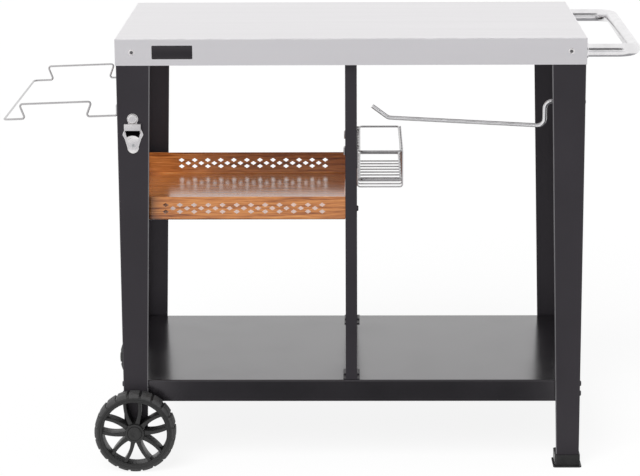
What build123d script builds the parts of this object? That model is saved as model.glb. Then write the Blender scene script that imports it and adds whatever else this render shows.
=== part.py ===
"""Grill cart: a folded steel top on tapered angle legs, with wheels, a push handle and hung accessories.

Pieces are drawn about the middle of the top, with X along the cart, Y from front to rear and Z up from the
floor. Saving moves them along X so that the origin lies under the middle of the whole outline.
"""

import math
import os

from build123d import *

os.makedirs("parts", exist_ok=True)

# Top and overall size
TOP_LENGTH = 900.0
TOP_DEPTH = 510.0
CART_HEIGHT = 856.0
APRON_HEIGHT = 52.0
TOP_SHEET = 1.2
TOP_BEND = 3.0

# Channel under the top
CHANNEL_WEB = 40.0
CHANNEL_FLANGE = 15.0
CHANNEL_HEIGHT = 18.0
CHANNEL_SHEET = 1.2

# Legs
LEG_SHEET = 1.5
LEG_BEND = 3.0
LEG_TOP_WIDTH = 66.0
LEG_FOOT_WIDTH = 44.5
LEG_BELOW_AXLE = 20.0
LEG_HEM = 7.0
LEG_HEM_ROUND = 1.3
LEG_HEM_CLEAR = 1.0

# Lower shelf
SHELF_HEIGHT = 177.0
SHELF_LIP = 43.0
SHELF_SHEET = 1.2
SHELF_BEND = 3.0
SHELF_INSET = 5.0
SHELF_RETURN = 12.0

# Centre posts and the rail between them
POST_WIDTH = 22.0
POST_DEPTH = 45.0
POST_WALL = 1.2
POST_PLATE = 2.0
POST_PLATE_WIDTH = 32.0
POST_PLATE_REACH = 24.0
RAIL_HEIGHT = 32.0

# Middle tray
TRAY_HEIGHT = 495.0
TRAY_INSET = 29.3
TRAY_RAIL = 46.0
TRAY_SHEET = 1.2
TRAY_BEND = 3.0
DIAMOND_WIDTH = 12.5
DIAMOND_HEIGHT = 8.6
DIAMOND_ROW_PITCH = 6.9
DIAMOND_COLUMNS = 12
DIAMOND_LEFT = 77.0
DIAMOND_RIGHT = 58.5

# Wheels and axle
WHEEL_DIAMETER = 160.0
WHEEL_WIDTH = 34.0
WHEEL_SIDE_GAP = 3.0
RIM_THICKNESS = 17.0
LUG_COUNT = 20
LUG_DEPTH = 2.4
LUG_GAP = 4.5
SPOKE_PAIRS = 5
SPOKE_THICKNESS = 4.2
SPOKE_SET_BACK = 4.0
SPOKE_LEAN = 4.0
SPOKE_ROOT_SPREAD = 4.8
SPOKE_WAIST_SPREAD = 13.2
SPOKE_TIP_SPREAD = 14.5
SPOKE_BITE = 2.0
RIM_SIDES = 40
HUB_DIAMETER = 38.0
CAP_DIAMETER = 28.0
CAP_DEPTH = 3.0
AXLE_DIAMETER = 10.0
NUT_ACROSS = 17.0
NUT_HEIGHT = 8.0
NUT_ROOM = 2.0

# Feet
FOOT_HEIGHT = 25.0
FOOT_FLOOR = 6.0
FOOT_WALL = 2.2
FOOT_FLANGE = 3.0
FOOT_FLANGE_HEIGHT = 3.5

# Push handle
HANDLE_TUBE = 25.0
HANDLE_WALL = 1.5
HANDLE_INSET = 15.0
HANDLE_REACH = 105.0
HANDLE_DROP = 27.0
HANDLE_BEND = 34.0
COLLAR_THICKNESS = 3.0
COLLAR_LIP = 2.0
SPIGOT_LENGTH = 18.0

# Bag rack
RACK_WIRE = 4.0
RACK_INSET = 25.8
RACK_REACH = 223.0
RACK_DROP = 132.0
RACK_STEP = 21.0
RACK_DROOP = 2.0
RACK_BEND = 4.0
RACK_CORNER = 12.0
HUMP_NEAR = 62.0
HUMP_BASE = 118.0
HUMP_UNDERCUT = 11.0
HUMP_RISE = 29.0
RACK_HOOK = 13.0
SLOT_LENGTH = 20.0

# Bottle opener
OPENER_DROP = 222.5
OPENER_PLATE = 2.5
OPENER_OUT = 12.0
OPENER_WIDTH = 31.0
OPENER_LOBE = 11.0
OPENER_HEAD = 11.5
OPENER_HOLE_PITCH = 55.5
OPENER_CHIN = 28.5
OPENER_CHIN_HALF = 16.0
OPENER_EAR_HALF = 20.0
OPENER_EAR_HEIGHT = 36.0
OPENER_TOOTH_HEIGHT = 31.0
OPENER_TOOTH_HALF = 12.5
OPENER_TOOTH_RISE = 4.0
OPENER_HOOD_FOOT = 46.0
OPENER_HOOD_TOP = 58.0
OPENER_HOOD_SHEET = 3.5

# Towel rod
TOWEL_ROD = 8.0
TOWEL_INSET = 31.0
TOWEL_DROP = 128.0
TOWEL_OFFSET = 72.0
TOWEL_STEP = 48.0
TOWEL_RUN = 301.0
TOWEL_RISE = 16.5
TOWEL_TIP_OUT = 31.0
TOWEL_TIP_UP = 23.0
TOWEL_BEND = 14.0
TOWEL_PLATE = 2.0
TOWEL_PLATE_SIZE = 32.0
TOWEL_PLATE_CORNER = 4.0

# Spice basket
BASKET_WIRE = 4.0
BASKET_CROSS_WIRE = 3.0
BASKET_LENGTH = 85.0
BASKET_DEPTH = 270.0
BASKET_HEIGHT = 73.0
BASKET_LOWER_RING = 17.0
BASKET_DROP = 238.0
BASKET_FRONT = 162.0
BASKET_CROSS_COUNT = 10
BASKET_HOOK = 16.0
BASKET_HOOK_INSET = 48.0

# Sides of the rods' sections, which keep their flats at the stated diameter
WIRE_SIDES = 8
TUBE_SIDES = 12

# Clearances
SLIDE_GAP = 0.3
RUN_GAP = 0.05
BEND_ROOM = 1.0

# Places worked out from the sizes above
LEG_X = TOP_LENGTH / 2 - TOP_SHEET
LEG_Y = TOP_DEPTH / 2 - TOP_SHEET
LEG_TOP = CART_HEIGHT - TOP_BEND - BEND_ROOM
LEG_INNER_X = LEG_X - LEG_SHEET
LEG_INNER_Y = LEG_Y - LEG_SHEET
CENTRE_X = (RACK_REACH - TOP_SHEET - HANDLE_REACH) / 2
CHANNEL_BOTTOM = CART_HEIGHT - TOP_SHEET - CHANNEL_HEIGHT
SHELF_DEPTH = 2 * (LEG_INNER_Y - SHELF_INSET)
POST_FRONT = SHELF_DEPTH / 2 - SHELF_BEND - BEND_ROOM / 2
POST_INNER = POST_FRONT - POST_DEPTH
WHEEL_RADIUS = WHEEL_DIAMETER / 2
RIM_INNER = WHEEL_RADIUS - RIM_THICKNESS
AXLE_RADIUS = AXLE_DIAMETER / 2
HANDLE_HEIGHT = CART_HEIGHT - HANDLE_DROP
HANDLE_SPAN = TOP_DEPTH - 2 * HANDLE_INSET
RACK_SPAN = 2 * (LEG_Y - RACK_INSET)
TRAY_DEPTH = 2 * (LEG_INNER_Y - TRAY_INSET)
HANDLE_INNER = HANDLE_TUBE / 2 - HANDLE_WALL


def leg_width(height):
    """Width of a leg flange at a height above the floor."""
    return LEG_FOOT_WIDTH + (LEG_TOP_WIDTH - LEG_FOOT_WIDTH) * height / CART_HEIGHT


AXLE_X = LEG_X - leg_width(WHEEL_RADIUS) / 2
WHEEL_FACE = LEG_Y + WHEEL_SIDE_GAP
NUT_SEAT = WHEEL_WIDTH - CAP_DEPTH - NUT_HEIGHT - NUT_ROOM
AXLE_END = WHEEL_FACE + NUT_SEAT + SLIDE_GAP + NUT_HEIGHT


def save(piece, label):
    """Move a piece into the cart's own frame, name it and write its file."""
    placed = piece.moved(Location((CENTRE_X, 0, 0)))
    placed.label = label
    export_step(placed, f"parts/{label}.step")


def upright(x, y):
    """Plane standing across Y at a point, with its own X along the cart and its normal to the front."""
    return Plane(origin=(x, y, 0), x_dir=(1, 0, 0), z_dir=(0, -1, 0))


def rod_section(radius, sides):
    """Section of a rod with flats at the radius, two of them square to each axis."""
    RegularPolygon(radius, sides, major_radius=False, rotation=180 / sides)


def bent_rod(points, radius, bends, sides):
    """Rod swept along straight runs joined by bends of the given radii."""
    with BuildPart() as rod:
        with BuildLine() as path:
            FilletPolyline(*points, radius=bends)
        first_run = Vector(*points[1]) - Vector(*points[0])
        with BuildSketch(Plane(origin=points[0], z_dir=first_run)):
            rod_section(radius, sides)
        sweep(path=path.wires()[0], transition=Transition.RIGHT)
    return rod.part


# Worktop: one sheet folded down on all four sides
with BuildPart() as worktop:
    with BuildSketch(Plane.XY.offset(CART_HEIGHT)):
        Rectangle(TOP_LENGTH, TOP_DEPTH)
    extrude(amount=-APRON_HEIGHT)
    fillet(worktop.faces().sort_by(Axis.Z)[-1].edges(), TOP_BEND)
    offset(amount=-TOP_SHEET, openings=worktop.faces().sort_by(Axis.Z)[0])
save(worktop.part, "worktop")

# Hat-section channel under the middle of the top, from front to rear
with BuildPart() as centre_channel:
    with BuildSketch(upright(0, -(LEG_Y - TOP_BEND))):
        with Locations((0, CHANNEL_BOTTOM + CHANNEL_HEIGHT / 2)):
            Rectangle(CHANNEL_WEB, CHANNEL_HEIGHT)
        with Locations((0, CHANNEL_BOTTOM + CHANNEL_HEIGHT / 2 + CHANNEL_SHEET)):
            Rectangle(CHANNEL_WEB - 2 * CHANNEL_SHEET, CHANNEL_HEIGHT, mode=Mode.SUBTRACT)
        flange_x = CHANNEL_WEB / 2 + CHANNEL_FLANGE / 2
        with Locations(
            (-flange_x, CHANNEL_BOTTOM + CHANNEL_HEIGHT - CHANNEL_SHEET / 2),
            (flange_x, CHANNEL_BOTTOM + CHANNEL_HEIGHT - CHANNEL_SHEET / 2),
        ):
            Rectangle(CHANNEL_FLANGE, CHANNEL_SHEET)
    extrude(amount=-2 * (LEG_Y - TOP_BEND))
save(centre_channel.part, "centre_channel")


def from_middle(edge):
    """Distance of an upright edge from the cart's middle, along both sides."""
    return abs(edge.center().X) + abs(edge.center().Y)


def from_fold(side, y_out):
    """Measure of how far an edge lies from the front corner of a leg's hem."""
    fold = (side * (LEG_X - leg_width((LEG_TOP + FOOT_HEIGHT) / 2)), y_out)
    return lambda edge: math.hypot(edge.center().X - fold[0], edge.center().Y - fold[1])


def build_leg(side, end, bottom):
    """Tapered angle leg folded from sheet, with a hem down the inner edge of its face.

    side is -1 at the wheel end and 1 at the handle end; end is -1 at the front and 1 at the rear.
    """
    x_out = side * LEG_X
    y_out = end * LEG_Y
    with BuildPart() as leg:
        with BuildSketch(upright(0, y_out)):
            Polygon(
                (x_out, LEG_TOP),
                (x_out - side * leg_width(LEG_TOP), LEG_TOP),
                (x_out - side * leg_width(bottom), bottom),
                (x_out, bottom),
            )
        extrude(amount=end * LEG_SHEET)
        hem_foot = max(bottom, FOOT_HEIGHT + LEG_HEM_CLEAR)
        with BuildSketch(upright(0, y_out - end * LEG_SHEET)):
            Polygon(
                (x_out - side * leg_width(LEG_TOP), LEG_TOP),
                (x_out - side * (leg_width(LEG_TOP) - LEG_HEM), LEG_TOP),
                (x_out - side * (leg_width(hem_foot) - LEG_HEM), hem_foot),
                (x_out - side * leg_width(hem_foot), hem_foot),
            )
        extrude(amount=end * LEG_SHEET)
        fillet(leg.edges().sort_by(from_fold(side, y_out))[0], LEG_HEM_ROUND)
        with BuildSketch(Plane.YZ.offset(x_out)):
            Polygon(
                (y_out, LEG_TOP),
                (y_out - end * leg_width(LEG_TOP), LEG_TOP),
                (y_out - end * leg_width(bottom), bottom),
                (y_out, bottom),
            )
        extrude(amount=-side * LEG_SHEET)
        fillet(leg.edges().filter_by(Axis.Z).sort_by(from_middle)[0], LEG_BEND - LEG_SHEET)
        fillet(leg.edges().filter_by(Axis.Z).sort_by(from_middle)[-1], LEG_BEND)
        if side < 0:
            with Locations(Location((side * AXLE_X, y_out, WHEEL_RADIUS), (90, 0, 0))):
                Cylinder(AXLE_RADIUS + RUN_GAP, 4 * LEG_SHEET, mode=Mode.SUBTRACT)
            with BuildSketch(Plane.YZ.offset(x_out - LEG_SHEET)):
                with Locations((end * RACK_SPAN / 2, CART_HEIGHT - RACK_DROP)):
                    Rectangle(RACK_WIRE + 4 * SLIDE_GAP, SLOT_LENGTH)
            extrude(amount=3 * LEG_SHEET, mode=Mode.SUBTRACT)
    return leg.part


save(build_leg(-1, -1, WHEEL_RADIUS - LEG_BELOW_AXLE), "front_left_leg")
save(build_leg(-1, 1, WHEEL_RADIUS - LEG_BELOW_AXLE), "rear_left_leg")
save(build_leg(1, -1, FOOT_FLOOR), "front_right_leg")
save(build_leg(1, 1, FOOT_FLOOR), "rear_right_leg")

# Lower shelf: folded pan hung between the legs, with its lips turned down and returned inward
with BuildPart() as lower_shelf:
    with BuildSketch(Plane.XY.offset(SHELF_HEIGHT)):
        Rectangle(2 * LEG_INNER_X, SHELF_DEPTH)
    extrude(amount=-SHELF_LIP)
    fillet(lower_shelf.faces().sort_by(Axis.Z)[-1].edges(), SHELF_BEND)
    offset(amount=-SHELF_SHEET, openings=lower_shelf.faces().sort_by(Axis.Z)[0])
    with BuildSketch(Plane.XY.offset(SHELF_HEIGHT - SHELF_LIP)):
        Rectangle(2 * LEG_INNER_X, SHELF_DEPTH)
        Rectangle(2 * (LEG_INNER_X - SHELF_RETURN), SHELF_DEPTH - 2 * SHELF_RETURN, mode=Mode.SUBTRACT)
    extrude(amount=SHELF_SHEET)
save(lower_shelf.part, "lower_shelf")


def build_post(end):
    """Rectangular tube post with its welded foot and head plates, at the front (-1) or rear (1)."""
    foot = SHELF_HEIGHT + POST_PLATE
    head = CHANNEL_BOTTOM - POST_PLATE
    mid_y = end * (POST_FRONT + POST_INNER) / 2
    plate_y = end * (POST_FRONT + POST_INNER - POST_PLATE_REACH) / 2
    with BuildPart() as post:
        with BuildSketch(Plane.XY.offset(foot)):
            with Locations((0, mid_y)):
                Rectangle(POST_WIDTH, POST_DEPTH)
                Rectangle(POST_WIDTH - 2 * POST_WALL, POST_DEPTH - 2 * POST_WALL, mode=Mode.SUBTRACT)
        extrude(amount=head - foot)
        with BuildSketch(Plane.XY.offset(SHELF_HEIGHT), Plane.XY.offset(head)):
            with Locations((0, plate_y)):
                Rectangle(POST_PLATE_WIDTH, POST_DEPTH + POST_PLATE_REACH)
        extrude(amount=POST_PLATE)
    return post.part


save(build_post(-1), "front_post")
save(build_post(1), "rear_post")

# Rail welded between the posts, which carries the spice basket
RAIL_TOP = CART_HEIGHT - BASKET_DROP - BASKET_WIRE / 2 - SLIDE_GAP
with BuildPart() as basket_rail:
    with BuildSketch(upright(0, -POST_INNER)):
        with Locations((0, RAIL_TOP - RAIL_HEIGHT / 2)):
            Rectangle(POST_WIDTH, RAIL_HEIGHT)
            Rectangle(POST_WIDTH - 2 * POST_WALL, RAIL_HEIGHT - 2 * POST_WALL, mode=Mode.SUBTRACT)
    extrude(amount=-2 * POST_INNER)
save(basket_rail.part, "basket_rail")

# Middle tray: folded pan between the left legs and the posts, with perforated front and rear rails
TRAY_LEFT = -LEG_INNER_X
TRAY_RIGHT = -POST_WIDTH / 2
TRAY_LENGTH = TRAY_RIGHT - TRAY_LEFT
DIAMOND_PITCH = (TRAY_LENGTH - DIAMOND_LEFT - DIAMOND_RIGHT) / (DIAMOND_COLUMNS - 1)


def diamond_places(skipped):
    """Centres of the diamonds of one rail, leaving out some columns at the left of the outer rows."""
    middle = TRAY_HEIGHT + TRAY_RAIL / 2
    places = []
    for row in (-1, 0, 1):
        columns = range(DIAMOND_COLUMNS - 1) if row == 0 else range(skipped, DIAMOND_COLUMNS)
        shift = 0.5 if row == 0 else 0.0
        for column in columns:
            x = TRAY_LEFT + DIAMOND_LEFT + (column + shift) * DIAMOND_PITCH
            places.append((x, middle + row * DIAMOND_ROW_PITCH))
    return places


with BuildPart() as wood_tray:
    with BuildSketch(Plane.XY.offset(TRAY_HEIGHT)):
        with Locations(((TRAY_LEFT + TRAY_RIGHT) / 2, 0)):
            Rectangle(TRAY_LENGTH, TRAY_DEPTH)
    extrude(amount=TRAY_RAIL)
    fillet(wood_tray.faces().sort_by(Axis.Z)[0].edges(), TRAY_BEND)
    offset(amount=-TRAY_SHEET, openings=wood_tray.faces().sort_by(Axis.Z)[-1])
    for end, skipped in ((-1, 1), (1, 0)):
        with BuildSketch(upright(0, end * (TRAY_DEPTH / 2 + TRAY_SHEET))):
            with Locations(*diamond_places(skipped)):
                Polygon(
                    (-DIAMOND_WIDTH / 2, 0),
                    (0, -DIAMOND_HEIGHT / 2),
                    (DIAMOND_WIDTH / 2, 0),
                    (0, DIAMOND_HEIGHT / 2),
                )
        extrude(amount=end * 3 * TRAY_SHEET, mode=Mode.SUBTRACT)
save(wood_tray.part, "wood_tray")

# Axle through the left legs, from wheel to wheel
with BuildPart() as axle:
    with BuildSketch(upright(0, -AXLE_END)):
        with Locations((-AXLE_X, WHEEL_RADIUS)):
            Circle(AXLE_RADIUS)
    extrude(amount=-2 * AXLE_END)
save(axle.part, "axle")


def wheel_plane(end, out):
    """Plane across the axle, a distance out from a wheel's inner face, facing away from the cart."""
    origin = (-AXLE_X, end * (WHEEL_FACE + out), WHEEL_RADIUS)
    return Plane(origin=origin, x_dir=(-end, 0, 0), z_dir=(0, end, 0))


def spoke_point(radius, angle, offset_across):
    """Point in the wheel's plane at a radius along a direction, moved sideways."""
    turn = math.radians(angle)
    x = radius * math.cos(turn) - offset_across * math.sin(turn)
    y = radius * math.sin(turn) + offset_across * math.cos(turn)
    return (x, y)


def build_wheel(end):
    """Moulded wheel with tread lugs and pairs of curved spokes, at the front (-1) or rear (1)."""
    hub_radius = HUB_DIAMETER / 2
    hub_foot = SLIDE_GAP - WHEEL_SIDE_GAP
    with BuildPart() as wheel:
        with BuildSketch(wheel_plane(end, 0)):
            rod_section(WHEEL_RADIUS, LUG_COUNT)
            with PolarLocations(WHEEL_RADIUS, LUG_COUNT, start_angle=180 / LUG_COUNT):
                Rectangle(2 * LUG_DEPTH, LUG_GAP, mode=Mode.SUBTRACT)
            RegularPolygon(RIM_INNER, RIM_SIDES, mode=Mode.SUBTRACT)
        extrude(amount=WHEEL_WIDTH)
        with BuildSketch(wheel_plane(end, 0)):
            with BuildLine():
                for pair in range(SPOKE_PAIRS):
                    angle = 90 + SPOKE_LEAN + pair * 360 / SPOKE_PAIRS
                    for lean in (-1, 1):
                        ThreePointArc(
                            spoke_point(hub_radius - SPOKE_BITE, angle, lean * SPOKE_ROOT_SPREAD),
                            spoke_point((hub_radius + RIM_INNER) / 2, angle, lean * SPOKE_WAIST_SPREAD),
                            spoke_point(RIM_INNER + SPOKE_BITE, angle, lean * SPOKE_TIP_SPREAD),
                        )
            trace(line_width=SPOKE_THICKNESS)
        extrude(amount=WHEEL_WIDTH - SPOKE_SET_BACK)
        with BuildSketch(wheel_plane(end, hub_foot)):
            Circle(hub_radius)
        extrude(amount=WHEEL_WIDTH - hub_foot)
        with BuildSketch(wheel_plane(end, hub_foot)):
            Circle(AXLE_RADIUS + RUN_GAP)
        extrude(amount=WHEEL_WIDTH, mode=Mode.SUBTRACT)
        with BuildSketch(wheel_plane(end, NUT_SEAT)):
            Circle(CAP_DIAMETER / 2)
        extrude(amount=WHEEL_WIDTH, mode=Mode.SUBTRACT)
    return wheel.part


def build_hub_cap(end):
    """Disc pressed into the hub over the axle nut."""
    with BuildPart() as cap:
        with BuildSketch(wheel_plane(end, WHEEL_WIDTH - CAP_DEPTH)):
            Circle(CAP_DIAMETER / 2 - RUN_GAP)
        extrude(amount=CAP_DEPTH)
    return cap.part


for end, label in ((-1, "front"), (1, "rear")):
    save(build_wheel(end), f"{label}_wheel")
    save(build_hub_cap(end), f"{label}_hub_cap")

# Nuts on the axle ends, inside the hubs
with BuildPart() as axle_nuts:
    for end in (-1, 1):
        with BuildSketch(wheel_plane(end, NUT_SEAT + SLIDE_GAP)):
            RegularPolygon(NUT_ACROSS / 2, 6, major_radius=False)
            Circle(AXLE_RADIUS + RUN_GAP, mode=Mode.SUBTRACT)
        extrude(amount=NUT_HEIGHT)
save(axle_nuts.part, "axle_nuts")


def build_foot(end):
    """Plastic boot over the end of a right leg, at the front (-1) or rear (1)."""
    arm = leg_width(FOOT_HEIGHT) + FOOT_WALL
    body = arm + FOOT_WALL
    out_x = LEG_X + FOOT_WALL
    out_y = end * (LEG_Y + FOOT_WALL)
    centre = (out_x - body / 2, out_y - end * body / 2)
    slot = LEG_SHEET + 2 * RUN_GAP
    with BuildPart() as foot:
        with BuildSketch() as foot_plan:
            with Locations(centre):
                Rectangle(body, body)
            chamfer(foot_plan.vertices(), LEG_BEND)
        extrude(amount=FOOT_HEIGHT)
        with BuildSketch() as flange_plan:
            with Locations(centre):
                Rectangle(body + 2 * FOOT_FLANGE, body + 2 * FOOT_FLANGE)
            chamfer(flange_plan.vertices(), LEG_BEND)
        extrude(amount=FOOT_FLANGE_HEIGHT)
        with BuildSketch(Plane.XY.offset(FOOT_FLOOR)):
            with Locations((LEG_X + RUN_GAP - arm / 2, end * (LEG_Y + RUN_GAP - slot / 2))):
                Rectangle(arm, slot)
            with Locations((LEG_X + RUN_GAP - slot / 2, end * (LEG_Y + RUN_GAP - arm / 2))):
                Rectangle(slot, arm)
            inner = LEG_BEND - LEG_SHEET - RUN_GAP
            with Locations((LEG_X + RUN_GAP - slot - inner / 2, end * (LEG_Y + RUN_GAP - slot - inner / 2))):
                Rectangle(inner, inner)
        extrude(amount=FOOT_HEIGHT, mode=Mode.SUBTRACT)
    return foot.part


save(build_foot(-1), "front_right_foot")
save(build_foot(1), "rear_right_foot")

# Push handle: one tube bent twice, standing out from the right end of the top
HANDLE_START = TOP_LENGTH / 2 + COLLAR_THICKNESS
HANDLE_BAR_X = TOP_LENGTH / 2 + HANDLE_REACH - HANDLE_TUBE / 2
with BuildPart() as push_handle:
    with BuildLine() as handle_path:
        FilletPolyline(
            (HANDLE_START, -HANDLE_SPAN / 2, HANDLE_HEIGHT),
            (HANDLE_BAR_X, -HANDLE_SPAN / 2, HANDLE_HEIGHT),
            (HANDLE_BAR_X, HANDLE_SPAN / 2, HANDLE_HEIGHT),
            (HANDLE_START, HANDLE_SPAN / 2, HANDLE_HEIGHT),
            radius=HANDLE_BEND,
        )
    with BuildSketch(Plane.YZ.offset(HANDLE_START)):
        with Locations((-HANDLE_SPAN / 2, HANDLE_HEIGHT)):
            rod_section(HANDLE_TUBE / 2, TUBE_SIDES)
            RegularPolygon(HANDLE_INNER, WIRE_SIDES, major_radius=False, mode=Mode.SUBTRACT)
    sweep(path=handle_path.wires()[0])
save(push_handle.part, "push_handle")

# Collars that plug the handle's ends and seat them on the apron
with BuildPart() as handle_collars:
    for end in (-1, 1):
        place = Plane((TOP_LENGTH / 2, end * HANDLE_SPAN / 2, HANDLE_HEIGHT), z_dir=(1, 0, 0))
        with BuildSketch(place):
            Circle(HANDLE_TUBE / 2 + COLLAR_LIP)
        extrude(amount=COLLAR_THICKNESS)
        with BuildSketch(place.offset(COLLAR_THICKNESS)):
            RegularPolygon(HANDLE_INNER - RUN_GAP, WIRE_SIDES, major_radius=False)
        extrude(amount=SPIGOT_LENGTH)
save(handle_collars.part, "handle_collars")


def rack_point(out, up, end):
    """Point of the bag rack at a distance out from the leg, with the rack's droop."""
    drop = out * math.tan(math.radians(RACK_DROOP))
    height = CART_HEIGHT - RACK_DROP - RACK_STEP + up - drop
    return (-LEG_X - out, end * RACK_SPAN / 2, height)


def rack_side(end):
    """Corner points of one arm of the bag rack, from its hook inside the leg to its outer end."""
    y = end * RACK_SPAN / 2
    stand_off = RACK_WIRE / 2 + SLIDE_GAP
    pivot = CART_HEIGHT - RACK_DROP
    hook_x = -LEG_INNER_X + RACK_WIRE / 2 + RACK_BEND
    hump_far = HUMP_NEAR + HUMP_BASE
    return [
        (hook_x, y, pivot + RACK_HOOK),
        (hook_x, y, pivot),
        (-LEG_X - stand_off, y, pivot),
        rack_point(stand_off, 0, end),
        rack_point(HUMP_NEAR, 0, end),
        rack_point(HUMP_NEAR - HUMP_UNDERCUT, HUMP_RISE, end),
        rack_point(hump_far + HUMP_UNDERCUT, HUMP_RISE, end),
        rack_point(hump_far, 0, end),
        rack_point(RACK_REACH - RACK_WIRE / 2, 0, end),
    ]


# Bag rack: one wire with a dovetail hump on each arm, hooked through slots in the left legs
rack_points = rack_side(-1) + rack_side(1)[::-1]
arm_bends = [0, RACK_BEND, RACK_BEND, 0, 0, 0, 0, RACK_CORNER]
bag_rack = bent_rod(rack_points, RACK_WIRE / 2, arm_bends + arm_bends[::-1], WIRE_SIDES)
save(bag_rack, "bag_rack")

# Bottle opener on the front of the left front leg: a lobed plate with a lipped hood over a bowed tooth
OPENER_X = -LEG_X + leg_width(CART_HEIGHT - OPENER_DROP) / 2
OPENER_FOOT = CART_HEIGHT - OPENER_DROP
OPENER_HALF = OPENER_WIDTH / 2
with BuildPart() as bottle_opener:
    opener_face = Plane(origin=(OPENER_X, -LEG_Y, OPENER_FOOT), x_dir=(1, 0, 0), z_dir=(0, -1, 0))
    tooth_top = (0, OPENER_TOOTH_HEIGHT + OPENER_TOOTH_RISE)
    with BuildSketch(opener_face):
        with Locations((0, OPENER_LOBE)):
            Circle(OPENER_LOBE)
        with Locations((0, OPENER_LOBE + OPENER_HOLE_PITCH)):
            Circle(OPENER_HEAD)
        with BuildLine():
            Polyline(
                (0, OPENER_LOBE),
                (OPENER_LOBE, OPENER_LOBE),
                (OPENER_CHIN_HALF, OPENER_CHIN),
                (OPENER_EAR_HALF, OPENER_EAR_HEIGHT),
                (OPENER_HALF, OPENER_HOOD_FOOT),
                (OPENER_HALF, OPENER_HOOD_TOP),
                (0, OPENER_HOOD_TOP),
            )
            mirror(about=Plane.YZ)
        make_face()
        with BuildLine():
            mouth_left = (-OPENER_LOBE, OPENER_TOOTH_HEIGHT)
            mouth_right = (OPENER_LOBE, OPENER_TOOTH_HEIGHT)
            Polyline(
                mouth_left,
                (OPENER_PLATE - OPENER_HALF, OPENER_HOOD_FOOT),
                (OPENER_HALF - OPENER_PLATE, OPENER_HOOD_FOOT),
                mouth_right,
            )
            ThreePointArc(mouth_right, tooth_top, mouth_left)
        make_face(mode=Mode.SUBTRACT)
    extrude(amount=OPENER_PLATE)
    hood_low = OPENER_HOOD_TOP - OPENER_HOOD_SHEET
    hood_bend = OPENER_OUT - OPENER_HOOD_SHEET
    with BuildSketch(Plane.YZ.offset(OPENER_X - OPENER_HALF)):
        with Locations((-LEG_Y, OPENER_FOOT)):
            Polygon(
                (0, OPENER_HOOD_TOP),
                (-hood_bend, OPENER_HOOD_TOP),
                (-OPENER_OUT, hood_low),
                (-OPENER_OUT, OPENER_HOOD_FOOT),
                (OPENER_PLATE - OPENER_OUT, OPENER_HOOD_FOOT),
                (OPENER_PLATE - OPENER_OUT, hood_low - OPENER_PLATE),
                (OPENER_HOOD_SHEET / 2 - hood_bend, hood_low),
                (0, hood_low),
            )
    extrude(amount=OPENER_WIDTH)
    with BuildSketch(opener_face):
        with BuildLine():
            tooth_left = (-OPENER_TOOTH_HALF, OPENER_TOOTH_HEIGHT)
            tooth_right = (OPENER_TOOTH_HALF, OPENER_TOOTH_HEIGHT)
            chin_left = (-OPENER_CHIN_HALF, OPENER_CHIN)
            chin_right = (OPENER_CHIN_HALF, OPENER_CHIN)
            Line(chin_left, tooth_left)
            ThreePointArc(tooth_left, tooth_top, tooth_right)
            Line(tooth_right, chin_right)
            Line(chin_right, chin_left)
        make_face()
    extrude(amount=OPENER_OUT / 2)
save(bottle_opener.part, "bottle_opener")

# Towel rod with the plate that holds it to the inside of the right front leg
TOWEL_Y = -(LEG_Y - TOWEL_INSET)
TOWEL_Z = CART_HEIGHT - TOWEL_DROP
plate_x = LEG_INNER_X - TOWEL_PLATE
down_x = plate_x - TOWEL_OFFSET
towel_points = [
    (plate_x, TOWEL_Y, TOWEL_Z),
    (down_x, TOWEL_Y, TOWEL_Z),
    (down_x, TOWEL_Y, TOWEL_Z - TOWEL_STEP),
    (down_x - TOWEL_RUN, TOWEL_Y, TOWEL_Z - TOWEL_STEP + TOWEL_RISE),
    (down_x - TOWEL_RUN - TOWEL_TIP_OUT, TOWEL_Y, TOWEL_Z - TOWEL_STEP + TOWEL_RISE + TOWEL_TIP_UP),
]
with BuildPart() as towel_rod:
    add(bent_rod(towel_points, TOWEL_ROD / 2, TOWEL_BEND, WIRE_SIDES))
    with BuildSketch(Plane.YZ.offset(plate_x)):
        with Locations((TOWEL_Y, TOWEL_Z)):
            RectangleRounded(TOWEL_PLATE_SIZE, TOWEL_PLATE_SIZE, TOWEL_PLATE_CORNER)
    extrude(amount=TOWEL_PLATE)
save(towel_rod.part, "towel_rod")

# Spice basket: two rings with hooks over the rail, and cross wires turned up outside the rings
BASKET_TOP = CART_HEIGHT - BASKET_DROP
BASKET_LEFT = POST_WIDTH / 2 + SLIDE_GAP + BASKET_CROSS_WIRE + RUN_GAP + BASKET_WIRE / 2
BASKET_RIGHT = BASKET_LEFT + BASKET_LENGTH - BASKET_WIRE
BASKET_REAR = -BASKET_FRONT + BASKET_DEPTH - BASKET_WIRE


def ring(height):
    """Closed rectangular ring of the basket's wire at a height."""
    y_mid = (BASKET_REAR - BASKET_FRONT) / 2
    with BuildPart() as hoop:
        with BuildLine(Plane.XY.offset(height)) as loop:
            Polyline(
                (BASKET_LEFT, y_mid),
                (BASKET_LEFT, BASKET_REAR),
                (BASKET_RIGHT, BASKET_REAR),
                (BASKET_RIGHT, -BASKET_FRONT),
                (BASKET_LEFT, -BASKET_FRONT),
                close=True,
            )
        with BuildSketch(upright(BASKET_LEFT, y_mid)):
            with Locations((0, height)):
                rod_section(BASKET_WIRE / 2, WIRE_SIDES)
        sweep(path=loop.wires()[0], transition=Transition.RIGHT)
    return hoop.part


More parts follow.
